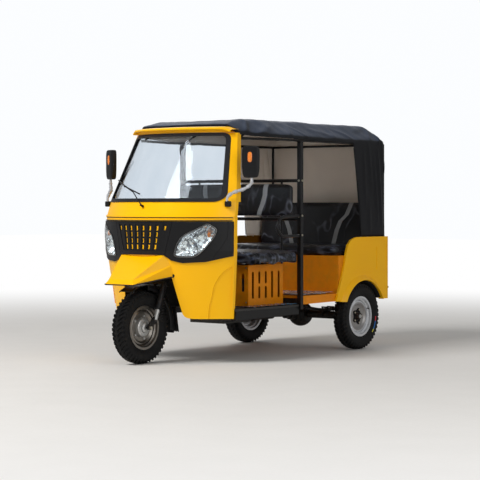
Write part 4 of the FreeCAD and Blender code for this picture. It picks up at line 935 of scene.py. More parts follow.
def canopy_points():
    """Columns run round the plan and rows run from the hem up to the middle of the roof.

    Each column goes up the wall from foot to eave, rolls in over the rail, climbs the slope to the hip and
    ends on the spine. The drop at the bows and the folds are added along the surface's own normal.
    """
    table = np.vstack([CANOPY_TABLE, (CANOPY_TABLE * [-1, 1, 1, 1, 1, -1, 1, 1])[-2:0:-1]])
    rows = len(table)
    place = np.arange(rows * COLUMNS_PER_ROW) / COLUMNS_PER_ROW
    looped = np.vstack([table, table[:1]])
    edge_x, edge_s, foot_h, foot_s, eave_h, hip_x, hip_s, hip_h = (
        np.interp(place, np.arange(rows + 1), looped[:, i]) for i in range(8))
    kernel = np.hanning(COLUMNS_PER_ROW)[1:-1]
    kernel /= kernel.sum()

    def eased(values):
        reach = len(kernel)
        wide = np.concatenate([values[-reach:], values, values[:reach]])
        return np.convolve(wide, kernel, "same")[reach:-reach]
    hip_x, hip_s, hip_h = eased(hip_x), eased(hip_s), eased(hip_h)
    foot = np.stack([edge_x, foot_s, foot_h], -1)
    eave = np.stack([edge_x, edge_s, eave_h], -1)
    hip = np.stack([hip_x, hip_s, hip_h], -1)
    spine_s = np.clip(hip_s, *SPINE_ENDS)
    spine = np.stack([0 * hip_x, spine_s, np.interp(spine_s, *SPINE.T)], -1)
    inward = (hip - eave) * [1, 1, 0]
    roll = eave + inward * ROLL_SHARE + [0, 0, ROLL_RISE]
    zones = ((foot, eave, WALL_ROWS), (eave, roll, ROLL_ROWS), (roll, hip, SLOPE_ROWS),
             (hip, spine, TOP_ROWS))
    steps = []
    for start, end, count in zones:
        share = np.linspace(0, 1, count, endpoint=False)[:, None, None]
        steps.append(start[None] + (end - start)[None] * share)
    points = np.concatenate(steps + [spine[None]])
    soft = np.array([1, 2, 3, 2, 1]) / 9
    for _ in range(2):
        inner = sum(w * points[i:len(points) - 4 + i] for i, w in enumerate(soft))
        points[2:-2][WALL_ROWS - 4:] = inner[WALL_ROWS - 4:]
    across = np.roll(points, -1, 1) - np.roll(points, 1, 1)
    up = np.gradient(points, axis=0)
    normal = np.cross(across, up)
    normal /= np.maximum(np.linalg.norm(normal, axis=-1, keepdims=True), 1e-9)
    if (normal[WALL_ROWS, :, 0] * points[WALL_ROWS, :, 0]).sum() < 0:
        normal = -normal
    x, station, height = points[..., 0], points[..., 1], points[..., 2]
    drop = np.cos((station - CREST_STATION) / CREST_HALF_RUN * math.pi) * 0.5 - 0.5
    on_roof = ramp(height, 1.74, 1.83) * ramp(station, 0.62, 0.8) * (1 - ramp(station, 2.3, 2.4))
    side = np.abs(x) > 0.3
    relief = fold_relief(station, height, SIDE_FOLDS) * side * ramp(station, 2.0, 2.1)
    relief += fold_relief(station, height, ROOF_FOLDS) * side
    waves = np.sin(x * 19 + station * 3) * np.sin(height * 7 + x * 4) * 0.004
    waves += np.sin(x * 43 + height * 9) * 0.002
    relief += waves * (station > 2.44) * (height < 1.7)
    relief += np.sin(station * 31 + x * 9) * np.sin(station * 13 - x * 21) * 0.0022 * ramp(height, 1.70, 1.76)
    return points + normal * (relief + drop * on_roof * BOW_DROP)[..., None]


def make_canopy():
    points = canopy_points()
    mesh = grid_mesh("canopy_canvas", placed(points), False, True, 60)
    columns = points.shape[1]
    column = np.arange(len(mesh.polygons)) % columns
    row = np.arange(len(mesh.polygons)) // columns
    half_way = (len(CANOPY_TABLE) - 1) * COLUMNS_PER_ROW
    mirrored = np.where(column < half_way, column, 2 * half_way - 1 - column)
    bare = (row < WALL_ROWS) & (mirrored < FLAP_COLUMN * COLUMNS_PER_ROW)
    work = bmesh.new()
    work.from_mesh(mesh)
    work.faces.ensure_lookup_table()
    bmesh.ops.delete(work, geom=[work.faces[i] for i in np.flatnonzero(bare)], context="FACES")
    bmesh.ops.remove_doubles(work, verts=work.verts, dist=1e-5)
    bmesh.ops.dissolve_degenerate(work, edges=work.edges, dist=1e-5)
    bmesh.ops.recalc_face_normals(work, faces=work.faces)
    top = max(work.faces, key=lambda face: face.calc_center_median().z)
    if top.normal.z < 0:
        bmesh.ops.reverse_faces(work, faces=work.faces)
    work.to_mesh(mesh)
    area = sum(face.calc_area() for face in work.faces)
    work.free()
    made = piece(mesh, "canvas lining", "body", ["canopy"])
    walled(made, CANVAS_WALL, -1).material_offset = 1


make_canopy()


# Seats

PAD_VOXEL = 0.012
PAD_PRESSURE = 4.0
PAD_FRAMES = 12


def pad_points(low, high, shrink, squareness):
    """A rounded block between two corners, each moved in by the shrink."""
    low, high = low + shrink, high - shrink
    return blob_points((low + high) / 2, (high - low) / 2, squareness, 48, 96)


def puffed(mesh, cap):
    """The mesh as a closed cloth, blown up a little so that it creases, no point moving past the cap."""
    start = bpy.data.objects.new("pad_start", mesh)
    bpy.context.scene.collection.objects.link(start)
    remesh = start.modifiers.new("remesh", "REMESH")
    remesh.mode, remesh.voxel_size = "VOXEL", PAD_VOXEL
    graph = bpy.context.evaluated_depsgraph_get()
    dense = bpy.data.meshes.new_from_object(start.evaluated_get(graph))
    bpy.data.objects.remove(start)
    cloth_object = bpy.data.objects.new("pad_cloth", dense)
    bpy.context.scene.collection.objects.link(cloth_object)
    cloth = cloth_object.modifiers.new("cloth", "CLOTH")
    cloth.settings.use_pressure = True
    cloth.settings.uniform_pressure_force = PAD_PRESSURE
    cloth.settings.effector_weights.gravity = 0
    cloth.settings.quality = 4
    cloth.settings.tension_stiffness = 12
    cloth.point_cache.frame_start, cloth.point_cache.frame_end = 1, PAD_FRAMES
    before = np.empty(len(dense.vertices) * 3)
    dense.vertices.foreach_get("co", before)
    scene = bpy.context.scene
    scene.frame_start, scene.frame_end = 1, PAD_FRAMES
    for number in range(1, PAD_FRAMES + 1):
        scene.frame_set(number)
    graph = bpy.context.evaluated_depsgraph_get()
    done = bpy.data.meshes.new_from_object(cloth_object.evaluated_get(graph))
    after = np.empty(len(done.vertices) * 3)
    done.vertices.foreach_get("co", after)
    before, after = before.reshape(-1, 3), after.reshape(-1, 3)
    move = after - before
    length = np.linalg.norm(move, axis=1, keepdims=True)
    after = before + move * np.minimum(1, cap / np.maximum(length, 1e-9))
    done.vertices.foreach_set("co", after.ravel())
    bpy.data.objects.remove(cloth_object)
    scene.frame_set(1)
    return smooth(done, 180)


# columns: name, node, shrink on each side, cap of the swelling, squareness in plan and in section
PADS = (
    ("driver_seat_pad", "driver_cushion", (0.006, 0.010, 0.006), 0.010, (0.22, 0.32), "wrapped_vinyl"),
    ("driver_back_pad", "driver_backrest", (0.004, 0.010, 0.004), 0.008, (0.18, 0.22), "driver_back_vinyl"),
    ("bench_seat_pad", "passenger_cushion", (0.006, 0.010, 0.006), 0.012, (0.20, 0.32), "wrapped_vinyl"),
    ("bench_back_pad", "passenger_backrest", (0.006, 0.010, 0.006), 0.012, (0.20, 0.22), "bench_back_vinyl"),
)
BENCH_BACK_LEAN = 0.058


def make_pads():
    for name, node, shrink, cap, squareness, look in PADS:
        low, high = (np.array(corner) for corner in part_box(node))
        if name == "bench_back_pad":
            low[1] += BENCH_BACK_LEAN / 2
        points = pad_points(low, high, shrink, squareness)
        if name == "bench_back_pad":
            share = (points[..., 2] - low[2]) / (high[2] - low[2]) - 0.5
            points[..., 1] += share * BENCH_BACK_LEAN * 0.45
        mesh = merged(grid_mesh(name, points, False, True, 180))
        mesh = puffed(mesh, cap)
        mesh.name = name
        mesh.materials.clear()
        made = piece(mesh, look, "body", [node])
        made.name = name


make_pads()


# Mirrors

MIRROR_CENTRE = np.array([0.700, 0.450, 1.513])
MIRROR_HALF = np.array([0.066, 0.026, 0.118])
MIRROR_TURN = math.radians(26)
MIRROR_FOOT_HEIGHT = 1.20
MIRROR_FOOT_X = 0.600


def at_mirror(points):
    """Points about the head's own middle, turned about the upright and moved to the left mirror's place."""
    c, s = math.cos(MIRROR_TURN), math.sin(MIRROR_TURN)
    x, y, z = points[..., 0], points[..., 1], points[..., 2]
    return MIRROR_CENTRE + np.stack([c * x - s * y, s * x + c * y, z], -1)


def mirror_head_points():
    """A rounded block that narrows a little towards its foot and is dished flat at the back for the glass."""
    points = blob_points((0, 0, 0), (1, 1, 1), (0.36, 0.30), 44, 64)
    narrow = 1 - 0.10 * ramp(-points[..., 2], 0.1, 1.0)
    points = points * MIRROR_HALF * np.stack([narrow, np.ones_like(narrow), np.ones_like(narrow)], -1)
    back = points[..., 1] > MIRROR_HALF[1] * 0.72
    points[..., 1] = np.where(back, MIRROR_HALF[1] * 0.72, points[..., 1])
    return at_mirror(points)


def oval_points(centre, half, bulge, rings=8, sides=36, squareness=0.8):
    """A domed oval facing forwards: rings shrink to the middle and rise by the bulge."""
    share = np.linspace(1, 0, rings)[:, None]
    angle = np.linspace(0, 2 * math.pi, sides, endpoint=False)[None, :]
    c, s = np.cos(angle), np.sin(angle)
    flat_x = np.sign(c) * np.abs(c) ** squareness * half[0] * share
    flat_z = np.sign(s) * np.abs(s) ** squareness * half[1] * share
    return np.asarray(centre) + np.stack([flat_x, -bulge * np.sqrt(1 - share ** 2) + 0 * flat_x, flat_z], -1)


def sided(points, side):
    """The points as they are for the left side, or mirrored for the right."""
    points = np.array(points, float)
    points[..., 0] *= side
    return points


def make_mirrors():
    for label, side in SIDES:
        head = capped(f"mirror_head_{label}", sided(mirror_head_points(), side))
        piece(head, "black_plastic", "body", [f"mirror_{label}"])
        repeater = at_mirror(oval_points((-0.002, -0.0225, 0.036), (0.019, 0.042), 0.009, squareness=0.6))
        rim = at_mirror(oval_points((-0.002, -0.0215, 0.036), (0.025, 0.049), 0.006, squareness=0.6))
        for name, points, look in (("repeater", repeater, "amber_lens"),
                                   ("repeater_rim", rim, "black_plastic")):
            piece(capped(f"mirror_{name}_{label}", sided(points, side), 50), look)
        glass = at_mirror(oval_points((0, 0.0195, 0), (0.056, 0.106), -0.002, 8, 64, 0.35))
        piece(capped(f"mirror_glass_{label}", sided(glass, side), 50), "mirror_silver")
        foot = on_panel(MIRROR_FOOT_X, MIRROR_FOOT_HEIGHT, 0.022)
        route = [foot, foot + [0, 0, 0.05], foot + [0.022, 0.045, 0.085], (0.668, 0.41, 1.312),
                 (0.706, 0.447, 1.352), (0.708, 0.450, 1.405)]
        path = spline(route, 70)
        share = np.linspace(0, 1, len(path))
        lumps = 0.0125 + 0.0022 * np.sin(share * 47) + 0.0016 * np.sin(share * 113 + 1)
        radius = np.where((share > 0.2) & (share < 0.93), lumps, 0.009)
        strip(f"mirror_arm_{label}", sided(path, side), radius, "silver_wrap", 20)
        place = on_panel(MIRROR_FOOT_X, MIRROR_FOOT_HEIGHT, 0.018)
        clamp = blob_points(place, (0.022, 0.018, 0.022), 0.35, 20, 28)
        piece(capped(f"mirror_clamp_{label}", sided(clamp, side)), "black_plastic")


make_mirrors()


# Headlamps

LAMP_OUTLINE = np.array([
    (0.288, 0.806), (0.350, 0.797), (0.424, 0.800), (0.478, 0.838), (0.524, 0.900), (0.552, 0.955),
    (0.566, 1.010), (0.545, 1.038), (0.515, 1.058), (0.476, 1.040), (0.439, 1.020), (0.345, 0.964),
    (0.305, 0.898), (0.292, 0.850),
])
LAMP_MIDDLE = LAMP_OUTLINE.mean(0)
LAMP_RIM = 0.009
LENS_WALL, BOWL_WALL, REFLECTOR_WALL = 0.0022, 0.0015, 0.0012
REFLECTOR_X, REFLECTOR_HEIGHT, REFLECTOR_RADIUS = 0.395, 0.880, 0.058
LAMP_SIDES = 120
# painted highlight: a thin bright alloy line round the bezel's outer edge stands for the highlight on the
# lamp's black rim
RIM_GLINT_SHARE, RIM_GLINT_PROUD, RIM_GLINT_RADIUS = 0.995, 0.0145, 0.0016
# columns: share of the way out to the outline, how far proud of the panel
LENS_SECTION = np.array([(1.0, 0.004), (0.995, 0.012), (0.975, 0.017), (0.90, 0.019), (0.6, 0.019),
                         (0.3, 0.019), (0.0, 0.019)])
BOWL_SECTION = np.array([(0.97, 0.013), (0.95, 0.004), (0.90, -0.010), (0.80, -0.026), (0.60, -0.042),
                         (0.35, -0.052), (0.0, -0.056)])
BEZEL_SECTION = np.array([(1.0, 0.002), (1.0, 0.0145), (0.985, 0.0165), (0.955, 0.0165), (0.94, 0.013),
                          (0.935, 0.0), (0.96, -0.004)])


def lamp_rings(section, side):
    """Rings of the leaf outline, each scaled about its middle and set proud of the panel as its row says."""
    inwards = LAMP_MIDDLE - LAMP_OUTLINE
    inset = LAMP_OUTLINE + inwards / np.linalg.norm(inwards, axis=1, keepdims=True) * LAMP_RIM
    edge = spline(inset, LAMP_SIDES, closed=True)
    share = section[:, 0][:, None, None]
    flat = LAMP_MIDDLE + (edge - LAMP_MIDDLE)[None] * share
    proud = np.broadcast_to(section[:, 1][:, None], flat.shape[:2])
    return placed(sided(on_panel(flat[..., 0], flat[..., 1], proud), side))


def disc_points(centre, radius, depth, rings, sides=40, power=2.0):
    """A bowl or dome facing forwards: its depth changes with a power of the distance from its middle."""
    share = np.linspace(1, 0, rings)[:, None]
    angle = np.linspace(0, 2 * math.pi, sides, endpoint=False)[None, :]
    x, z = radius * share * np.cos(angle), radius * share * np.sin(angle)
    return np.asarray(centre) + np.stack([x, depth * (1 - share ** power) + 0 * x, z], -1)


def ring_path(centre, radius, count=48):
    angle = np.linspace(0, 2 * math.pi, count, endpoint=False)
    return np.asarray(centre) + radius * np.stack([np.cos(angle), 0 * angle, np.sin(angle)], -1)


def make_headlamps():
    for label, side in SIDES:
        lens = merged(grid_mesh(f"lamp_lens_{label}", lamp_rings(LENS_SECTION, side), False, True, 40))
        walled(piece(lens, "clear_glass", "body", [f"headlamp_{label}"]), LENS_WALL, -1)
        bowl = merged(grid_mesh(f"lamp_bowl_{label}", lamp_rings(BOWL_SECTION, side), False, True, 60))
        walled(piece(bowl, "facet_chrome"), BOWL_WALL, -1)
        bezel = grid_mesh(f"lamp_bezel_{label}", lamp_rings(BEZEL_SECTION, side), True, True, 50)
        piece(merged(bezel), "black_plastic")
        # painted highlight: the bright line on the bezel's edge
        line = lamp_rings(BEZEL_SECTION[:1] * [RIM_GLINT_SHARE, 0] + [0, RIM_GLINT_PROUD], side)[0]
        piece(tube_mesh(f"lamp_rim_highlight_{label}", line, RIM_GLINT_RADIUS, 6, True), "cast_alloy")
        centre = on_panel(REFLECTOR_X, REFLECTOR_HEIGHT, -0.030)
        reflector = disc_points(centre + [0, -0.014, 0], REFLECTOR_RADIUS, 0.026, 14)
        mesh = capped(f"lamp_reflector_{label}", sided(reflector, side), 60)
        walled(piece(mesh, "facet_chrome"), REFLECTOR_WALL)
        ring = ring_path(centre + [0, -0.015, 0], REFLECTOR_RADIUS + 0.001)
        strip(f"lamp_ring_{label}", sided(ring, side), 0.0035, "bright_chrome", 10, closed=True)
        ball = blob_points(centre, (0.016, 0.016, 0.016), 1.0, 16, 24)
        piece(capped(f"lamp_bulb_{label}", sided(ball, side), 60), "bright_chrome")
        signal = blob_points(on_panel(0.500, 0.972, -0.012), (0.013, 0.011, 0.020), 0.9, 16, 24)
        piece(capped(f"lamp_signal_{label}", sided(signal, side), 60), "amber_lens")


make_headlamps()


# Grille bars and mask trim

GRILLE_TOP, GRILLE_BOTTOM = 1.045, 0.858
GRILLE_GAPS = 8
PITCH_TOP, PITCH_BOTTOM = 0.0635, 0.054
GRILLE_ROWS = 4
# columns: height above the louvre's middle, how far proud of the panel
LOUVRE_SECTION = np.array([(-0.010, 0.001), (0.002, 0.001), (0.004, 0.004), (-0.003, 0.0045),
                           (-0.010, 0.002)])


def grille_bars():
    """Short black louvres across each gap of the mask, so that four rows of the yellow panel show."""
    bars = []
    pitch = (GRILLE_TOP - GRILLE_BOTTOM) / GRILLE_ROWS
    for row in range(GRILLE_ROWS + 1):
        height = GRILLE_BOTTOM + pitch * row
        share = (height - GRILLE_BOTTOM) / (GRILLE_TOP - GRILLE_BOTTOM)
        half = (PITCH_BOTTOM + (PITCH_TOP - PITCH_BOTTOM) * share) * (GRILLE_GAPS / 2) + 0.004
        x = np.linspace(-half, half, 60)[None, :]
        rise, proud = LOUVRE_SECTION[:, :1], LOUVRE_SECTION[:, 1:]
        points = on_panel(x + 0 * rise, height + rise + 0 * x, proud + 0 * x)
        bars.append(with_ends(points, 1))
    return bars


def joined(name, grids, close_rows=True, close_columns=False, sharp=35):
    """Several closed grids in one mesh."""
    work = bmesh.new()
    for number, points in enumerate(grids):
        part = merged(grid_mesh(f"{name}_{number}", points, close_rows, close_columns, sharp))
        work.from_mesh(part)
        bpy.data.meshes.remove(part)
    mesh = bpy.data.meshes.new(name)
    work.to_mesh(mesh)
    work.free()
    return smooth(mesh, sharp)


def make_grille():
    piece(joined("grille_louvres", [placed(bar) for bar in grille_bars()]), "black_plastic")


make_grille()


# Trim and small parts

def stub_points(base, tip, radius, sides=6, taper=1.0):
    """A short bar between two points, closed at both ends: a bolt head, a nut or a pin."""
    base, tip = np.array(base, float), np.array(tip, float)
    along = (tip - base) / np.linalg.norm(tip - base)
    across = np.cross(along, (0.31, 0.89, 0.33))
    across /= np.linalg.norm(across)
    angle = np.linspace(0, 2 * math.pi, sides, endpoint=False)[:, None]
    ring = (np.cos(angle) * across + np.sin(angle) * np.cross(along, across)) * radius
    return np.stack([np.repeat(base[None], sides, 0), base + ring, tip + ring * taper,
                     np.repeat(tip[None], sides, 0)])


def on_both_sides(grids):
    return [placed(sided(points, side)) for side in (1, -1) for points in grids]


def bolts(name, heads, look="zinc", body="body", both=True, sides=6):
    """Bolt heads in one mesh; each is given by its place, the way it faces, its radius and its height."""
    grids = []
    for x, station, height, way, radius, rise in heads:
        place = np.array([x, station, height])
        way = np.array(way, float)
        way /= np.linalg.norm(way)
        grids.append(stub_points(place, place + way * rise, radius, sides, 0.9))
    grids = on_both_sides(grids) if both else [placed(points) for points in grids]
    return piece(joined(name, grids, False, True, 30), look, body)


def fender_edge():
    """Points along the lower edge of the beak fender, from its left root round the tip to the right root."""
    left = [(0.2555, 0.090, 0.659), (0.226, -0.004, 0.6455), (0.183, -0.126, 0.624), (0.1435, -0.235, 0.605)]
    corner = [(0.132, -0.2385, 0.603)]
    right = [(-x, s, h) for x, s, h in reversed(left + corner)]
    return np.array(left + corner + right)


def make_body_trim():
    strip("fender_edge", fender_edge() - [0, 0, 0.003], 0.0045, "seal_rubber")
    x = np.linspace(-0.628, 0.628, 70)
    strip("mask_top_edge", on_panel(x, 1.0745, 0.004), 0.0038, "seal_rubber")
    strip("groove_line", on_panel(x, 1.0985, 0.002), 0.0026, "seal_rubber")
    heads = [(0.6175, 1.22, height, (1, 0, 0), 0.009, 0.006) for height in (1.384, 1.108, 0.955)]
    heads += [(0.60, 1.2025, height, (0, -1, 0), 0.009, 0.006) for height in (1.384, 1.102, 0.956)]
    heads += [(0.43, 0.745, 0.705, (0, -1, 0), 0.007, 0.004), (0.43, 0.745, 0.44, (0, -1, 0), 0.007, 0.004)]
    heads += [(0.6, 2.08 + 0.1 * i, 0.918, (0, 0, 1), 0.006, 0.011) for i in range(4)]
    bolts("body_bolts", heads)
    bolts("fender_bolt", [(0.251, 0.088, 0.667, (1, -1, 0), 0.010, 0.010)], "black_steel")


# columns: how far proud of the screen's top edge, and height
VISOR_SECTION = np.array([(-0.040, 1.7425), (0.004, 1.7425), (0.0045, 1.764), (0.038, 1.762),
                          (0.0435, 1.766), (0.0445, 1.772), (0.042, 1.778), (0.034, 1.782), (0.016, 1.785),
                          (-0.045, 1.789)])
VISOR_HALF = 0.490
VISOR_DROOP = 0.020


def make_visor():
    """A lip over the screen: an undercut section along the screen's plan arc, drooping at its ends.

    The section is closed at its right end and open at its left end.
    """
    x = np.linspace(-VISOR_HALF, VISOR_HALF, 90)[None, :]
    proud, height = VISOR_SECTION[:, :1], VISOR_SECTION[:, 1:]
    station = PANEL_SETBACKS[-1] + PLAN_RADIUS - np.sqrt((PLAN_RADIUS + proud) ** 2 - x * x)
    droop = VISOR_DROOP * ramp(np.abs(x), 0.43, VISOR_HALF) * ramp(height, 1.745, 1.765)
    points = np.stack([x + 0 * proud, station, height - droop], -1)
    right_end = points[:, :1].mean(0, keepdims=True).repeat(len(points), 0)
    points = np.concatenate([right_end, points], 1)
    mesh = merged(grid_mesh("roof_visor_lip", placed(points), True, False, 30))
    piece(mesh, "yellow_paint", "body", ["roof_visor"])


SPLASH_STATION = 0.388


def make_splash_wall():
    """The black toe board behind the front wheel: an upright sheet with ribs, rolled over at its top."""
    upright = np.linspace(0.412, 0.80, 30)
    rolled = 0.80 + 0.02 * np.sin(np.linspace(0.2, 1.5, 8))
    height = np.concatenate([upright, rolled])[:, None]
    x = np.linspace(-0.57, 0.57, 80)[None, :]
    rib = 0.004 * np.cos(x * 2 * math.pi / 0.16) * ramp(height, 0.43, 0.46) * (1 - ramp(height, 0.76, 0.79))
    roll = 0.03 * ramp(height, 0.785, 0.82) ** 2
    station = SPLASH_STATION - 0.006 - np.abs(rib) - roll
    points = np.stack([x + 0 * height, station, height + 0 * x], -1)
    walled(piece(grid_mesh("splash_wall", placed(points), False, False, 50), "under_black"), 0.003)


LINER_INNER, LINER_OUTER = 0.489, 0.628
ARCH_RADIUS, ARCH_BEHIND_AXLE = 0.300, 0.015


def make_arch_liners():
    """A black half round liner in each rear wheel arch, with an upright wall at its inner end."""
    angle = np.radians(np.linspace(-60, 60, 60))[:, None]
    middle = (LINER_INNER + LINER_OUTER) / 2
    x = np.array([LINER_OUTER, middle, LINER_INNER, LINER_INNER, LINER_INNER])[None, :]
    radius = (ARCH_RADIUS - 0.003) * np.array([1, 1, 1, 0.985, 0.93])[None, :]
    points = np.stack([x + 0 * angle, WHEELBASE + ARCH_BEHIND_AXLE + radius * np.sin(angle),
                       AXLE_HEIGHT + radius * np.cos(angle)], -1)
    for label, side in SIDES:
        mesh = grid_mesh(f"arch_liner_{label}", placed(sided(points, side)), False, False, 50)
        walled(piece(mesh, "under_black"), 0.002)


def make_rear_trim():
    """What the photo doesn't show of the rear: hinges, a handle, reflectors and rubber buffers."""
    hinges = [stub_points((x - 0.04, 2.472, 0.876), (x + 0.04, 2.472, 0.876), 0.008, 12)
              for x in (-0.22, 0.22)]
    piece(joined("hatch_hinges", [placed(p) for p in hinges], False, True, 40), "black_steel")
    grip = [(-0.05, 2.466, 0.60), (-0.045, 2.488, 0.60), (0.045, 2.488, 0.60), (0.05, 2.466, 0.60)]
    strip("hatch_handle", spline(grip, 30), 0.006, "zinc", 12)
    disc = [stub_points((0.40, 2.465, 0.47), (0.40, 2.474, 0.47), 0.03, 36, 0.94)]
    piece(joined("rear_reflectors", on_both_sides(disc), False, True, 40), "red_lens")
    buffer = [stub_points((0.602, 2.47, 0.50), (0.602, 2.482, 0.50), 0.013, 20, 0.8)]
    piece(joined("rear_buffers", on_both_sides(buffer), False, True, 40), "seal_rubber")


def make_handlebar_trim():
    """Grips and levers at the bar's ends, and a dial in the dashboard's pod."""
    for label, side in SIDES:
        end = np.array([0.356, 0.459, 1.163])
        inner = end - [0.125, 0.038, -0.0085]
        share = np.linspace(0, 1, 60)
        path = inner + (end - inner) * share[:, None]
        radius = 0.0155 + 0.0012 * np.sin(share * 150)
        strip(f"grip_{label}", sided(path, side), radius, "seal_rubber", 18, "steering")
        lever = spline([inner + [-0.02, -0.022, -0.006], inner + [0.03, -0.05, -0.01],
                        end + [0, -0.045, -0.012]], 24)
        strip(f"lever_{label}", sided(lever, side), 0.0048, "cast_alloy", 10, "steering")
    dial = oval_points((0, 0, 0), (0.036, 0.036), 0.004, 6, 40, 1.0)
    tilted = np.stack([dial[..., 0], 0.121 - dial[..., 2] * 0.55 + dial[..., 1] * 0.6,
                       1.227 + dial[..., 2] * 0.3 - dial[..., 1]], -1)
    piece(capped("dial", tilted), "mirror_silver")


SPRING_X = 0.112
STEERING_RAKE = math.radians(21.5)
# station of the steering axis at the height of the axle
STEERING_FOOT = 0.045
LEG_X = 0.088


def fork_place(up, x, ahead=0.0):
    """A point so far up the raked steering axis from the axle's height, and so far ahead of it."""
    lean, rise = math.sin(STEERING_RAKE), math.cos(STEERING_RAKE)
    return np.array([x, STEERING_FOOT + up * lean - ahead * rise, AXLE_HEIGHT + up * rise + ahead * lean])


def fork_line(x, low, high, count):
    """Points evenly along a leg of the fork, between two places up the steering axis."""
    base, tip = fork_place(low, x), fork_place(high, x)
    return base + (tip - base) * np.linspace(0, 1, count)[:, None]


def make_fork_trim():
    """Ribbed boots and bright lower castings on the fork's legs, axle nuts, and the rubber flap behind."""
    for label, side in SIDES:
        x = side * LEG_X
        radius = 0.0228 + 0.0015 * np.sin(np.linspace(0, 1, 90) * 2 * math.pi * 13)
        strip(f"fork_boot_{label}", fork_line(x, 0.150, 0.332, 90), radius, "seal_rubber", 24, "steering")
        swell = np.array([12, 17, 18.6, 18.8, 18.8, 18.6, 18.6, 18.6, 18.8, 19.6, 19.6, 18.0]) / 1000
        strip(f"fork_casting_{label}", fork_line(x, 0.052, 0.142, 12), swell, "cast_alloy", 24, "steering")
        turns = np.linspace(0, 1, 150)
        middle = fork_place(0.06, side * SPRING_X, -0.03) * (1 - turns[:, None])
        middle = middle + fork_place(0.235, side * SPRING_X, -0.012) * turns[:, None]
        coil = middle + 0.015 * np.stack([np.cos(turns * 50), np.sin(turns * 50), 0 * turns], -1)
        strip(f"fork_spring_{label}", coil, 0.0032, "under_steel", 8, "steering")
    nuts = [stub_points((0.097, 0, AXLE_HEIGHT), (0.111, 0, AXLE_HEIGHT), 0.0145)]
    piece(joined("front_axle_nuts", on_both_sides(nuts), False, True, 30), "zinc", "steering")
    x = np.linspace(-0.078, 0.078, 41)[None, :]
    share = np.linspace(0, 1, 10)[:, None]
    jag = 0.010 * np.abs((x * 95) % 2 - 1) * share ** 6
    height = 0.415 - 0.195 * share + jag
    station = 0.322 + 0.035 * share + 0.0022 * np.sin(x * 260) * (1 - 0.5 * share)
    flap = np.stack([x + 0 * share, station, height], -1)
    mesh = grid_mesh("mud_flap", placed(flap), False, False, 60)
    walled(piece(mesh, "tyre_rubber", "steering"), 0.004)


def make_mudguard_sides():
    """Valances under the inner mudguard's edges: rings about the axle, rolled in at the lower edge."""
    low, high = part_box("front_mudguard")
    half = (high.x - low.x) / 2 - 0.002
    angle = np.radians(np.linspace(4, 97, 60))[:, None]
    # columns: distance in from the edge, radius
    section = np.array([(0.000, 0.3215), (0.000, 0.290), (0.003, 0.284), (0.008, 0.281)])
    for label, side in SIDES:
        x = side * (half - section[:, 0])[None, :] + 0 * angle
        radius = section[:, 1][None, :]
        points = np.stack([x, radius * np.sin(angle), AXLE_HEIGHT + radius * np.cos(angle)], -1)
        mesh = grid_mesh(f"mudguard_side_{label}", placed(points), False, False, 50)
        walled(piece(mesh, "black_plastic", "steering"), 0.002)


# columns: distance out from the disc, radius, height of the star's points
FLANGE_SECTION = np.array([(0.0082, 0.034, 0.0), (0.0112, 0.034, 0.0), (0.0112, 0.060, 0.009),
                           (0.0082, 0.062, 0.009)])
HUB_NUTS = 5
NUT_CIRCLE, NUT_OUT, CAP_OUT = 0.055, 0.0158, 0.0358


def make_wheel_trim():
    """Valves, black star flanges, nuts and caps at the rear, and a new tyre's colour marks at its left."""
    angle = np.linspace(0, 2 * math.pi, 80, endpoint=False)[:, None]
    out, base, points_height = FLANGE_SECTION.T[:, None, :]
    radius = base + points_height * np.cos(HUB_NUTS * angle)
    star = np.stack([REAR_WHEEL_X + out + 0 * angle, WHEELBASE + radius * np.cos(angle),
                     AXLE_HEIGHT + radius * np.sin(angle)], -1)
    turns = [2 * math.pi * i / HUB_NUTS for i in range(HUB_NUTS)]
    for label, side in SIDES:
        body = f"rear_wheel_{label}"
        flange = grid_mesh(f"hub_flange_{label}", placed(sided(star, side)), True, True, 30)
        piece(flange, "under_black", body)
        heads = [(side * (REAR_WHEEL_X + NUT_OUT), WHEELBASE + NUT_CIRCLE * math.cos(a),
                  AXLE_HEIGHT + NUT_CIRCLE * math.sin(a), (side, 0, 0), 0.0082, 0.005) for a in turns]
        bolts(f"hub_nuts_{label}", heads, "zinc", body, False)
        cap = (side * (REAR_WHEEL_X + CAP_OUT), WHEELBASE, AXLE_HEIGHT, (side, 0, 0), 0.0165, 0.006)
        bolts(f"hub_cap_{label}", [cap], "cast_alloy", body, False, 24)
    wheels = (("front", "front_wheel", 0.0, 0.0, 1),
              ("rear_left", "rear_wheel_left", REAR_WHEEL_X, WHEELBASE, 1),
              ("rear_right", "rear_wheel_right", -REAR_WHEEL_X, WHEELBASE, -1))
    for label, body, x, station, side in wheels:
        foot = (x + side * 0.022, station + 0.126, AXLE_HEIGHT + 0.060)
        tip = (x + side * 0.047, station + 0.119, AXLE_HEIGHT + 0.057)
        valve = [placed(stub_points(foot, tip, 0.0042, 12, 0.8))]
        piece(joined(f"valve_{label}", valve, False, True, 40), "seal_rubber", body)
    angle = np.radians(np.linspace(2, 42, 40))[None, :]
    radius = np.linspace(0.201, 0.210, 5)[:, None]
    t = (radius - BEAD_RADIUS) / (TYRE_RADIUS - SHOULDER_DROP - BEAD_RADIUS)
    mark = np.stack([REAR_WHEEL_X + sidewall_x(t) + 0.0006 + 0 * angle, WHEELBASE + radius * np.cos(angle),
                     AXLE_HEIGHT - radius * np.sin(angle)], -1)
    mesh = grid_mesh("tyre_marks", placed(mark), False, False, 60)
    walled(piece(mesh, "tyre_marks", "rear_wheel_left"), 0.0006)


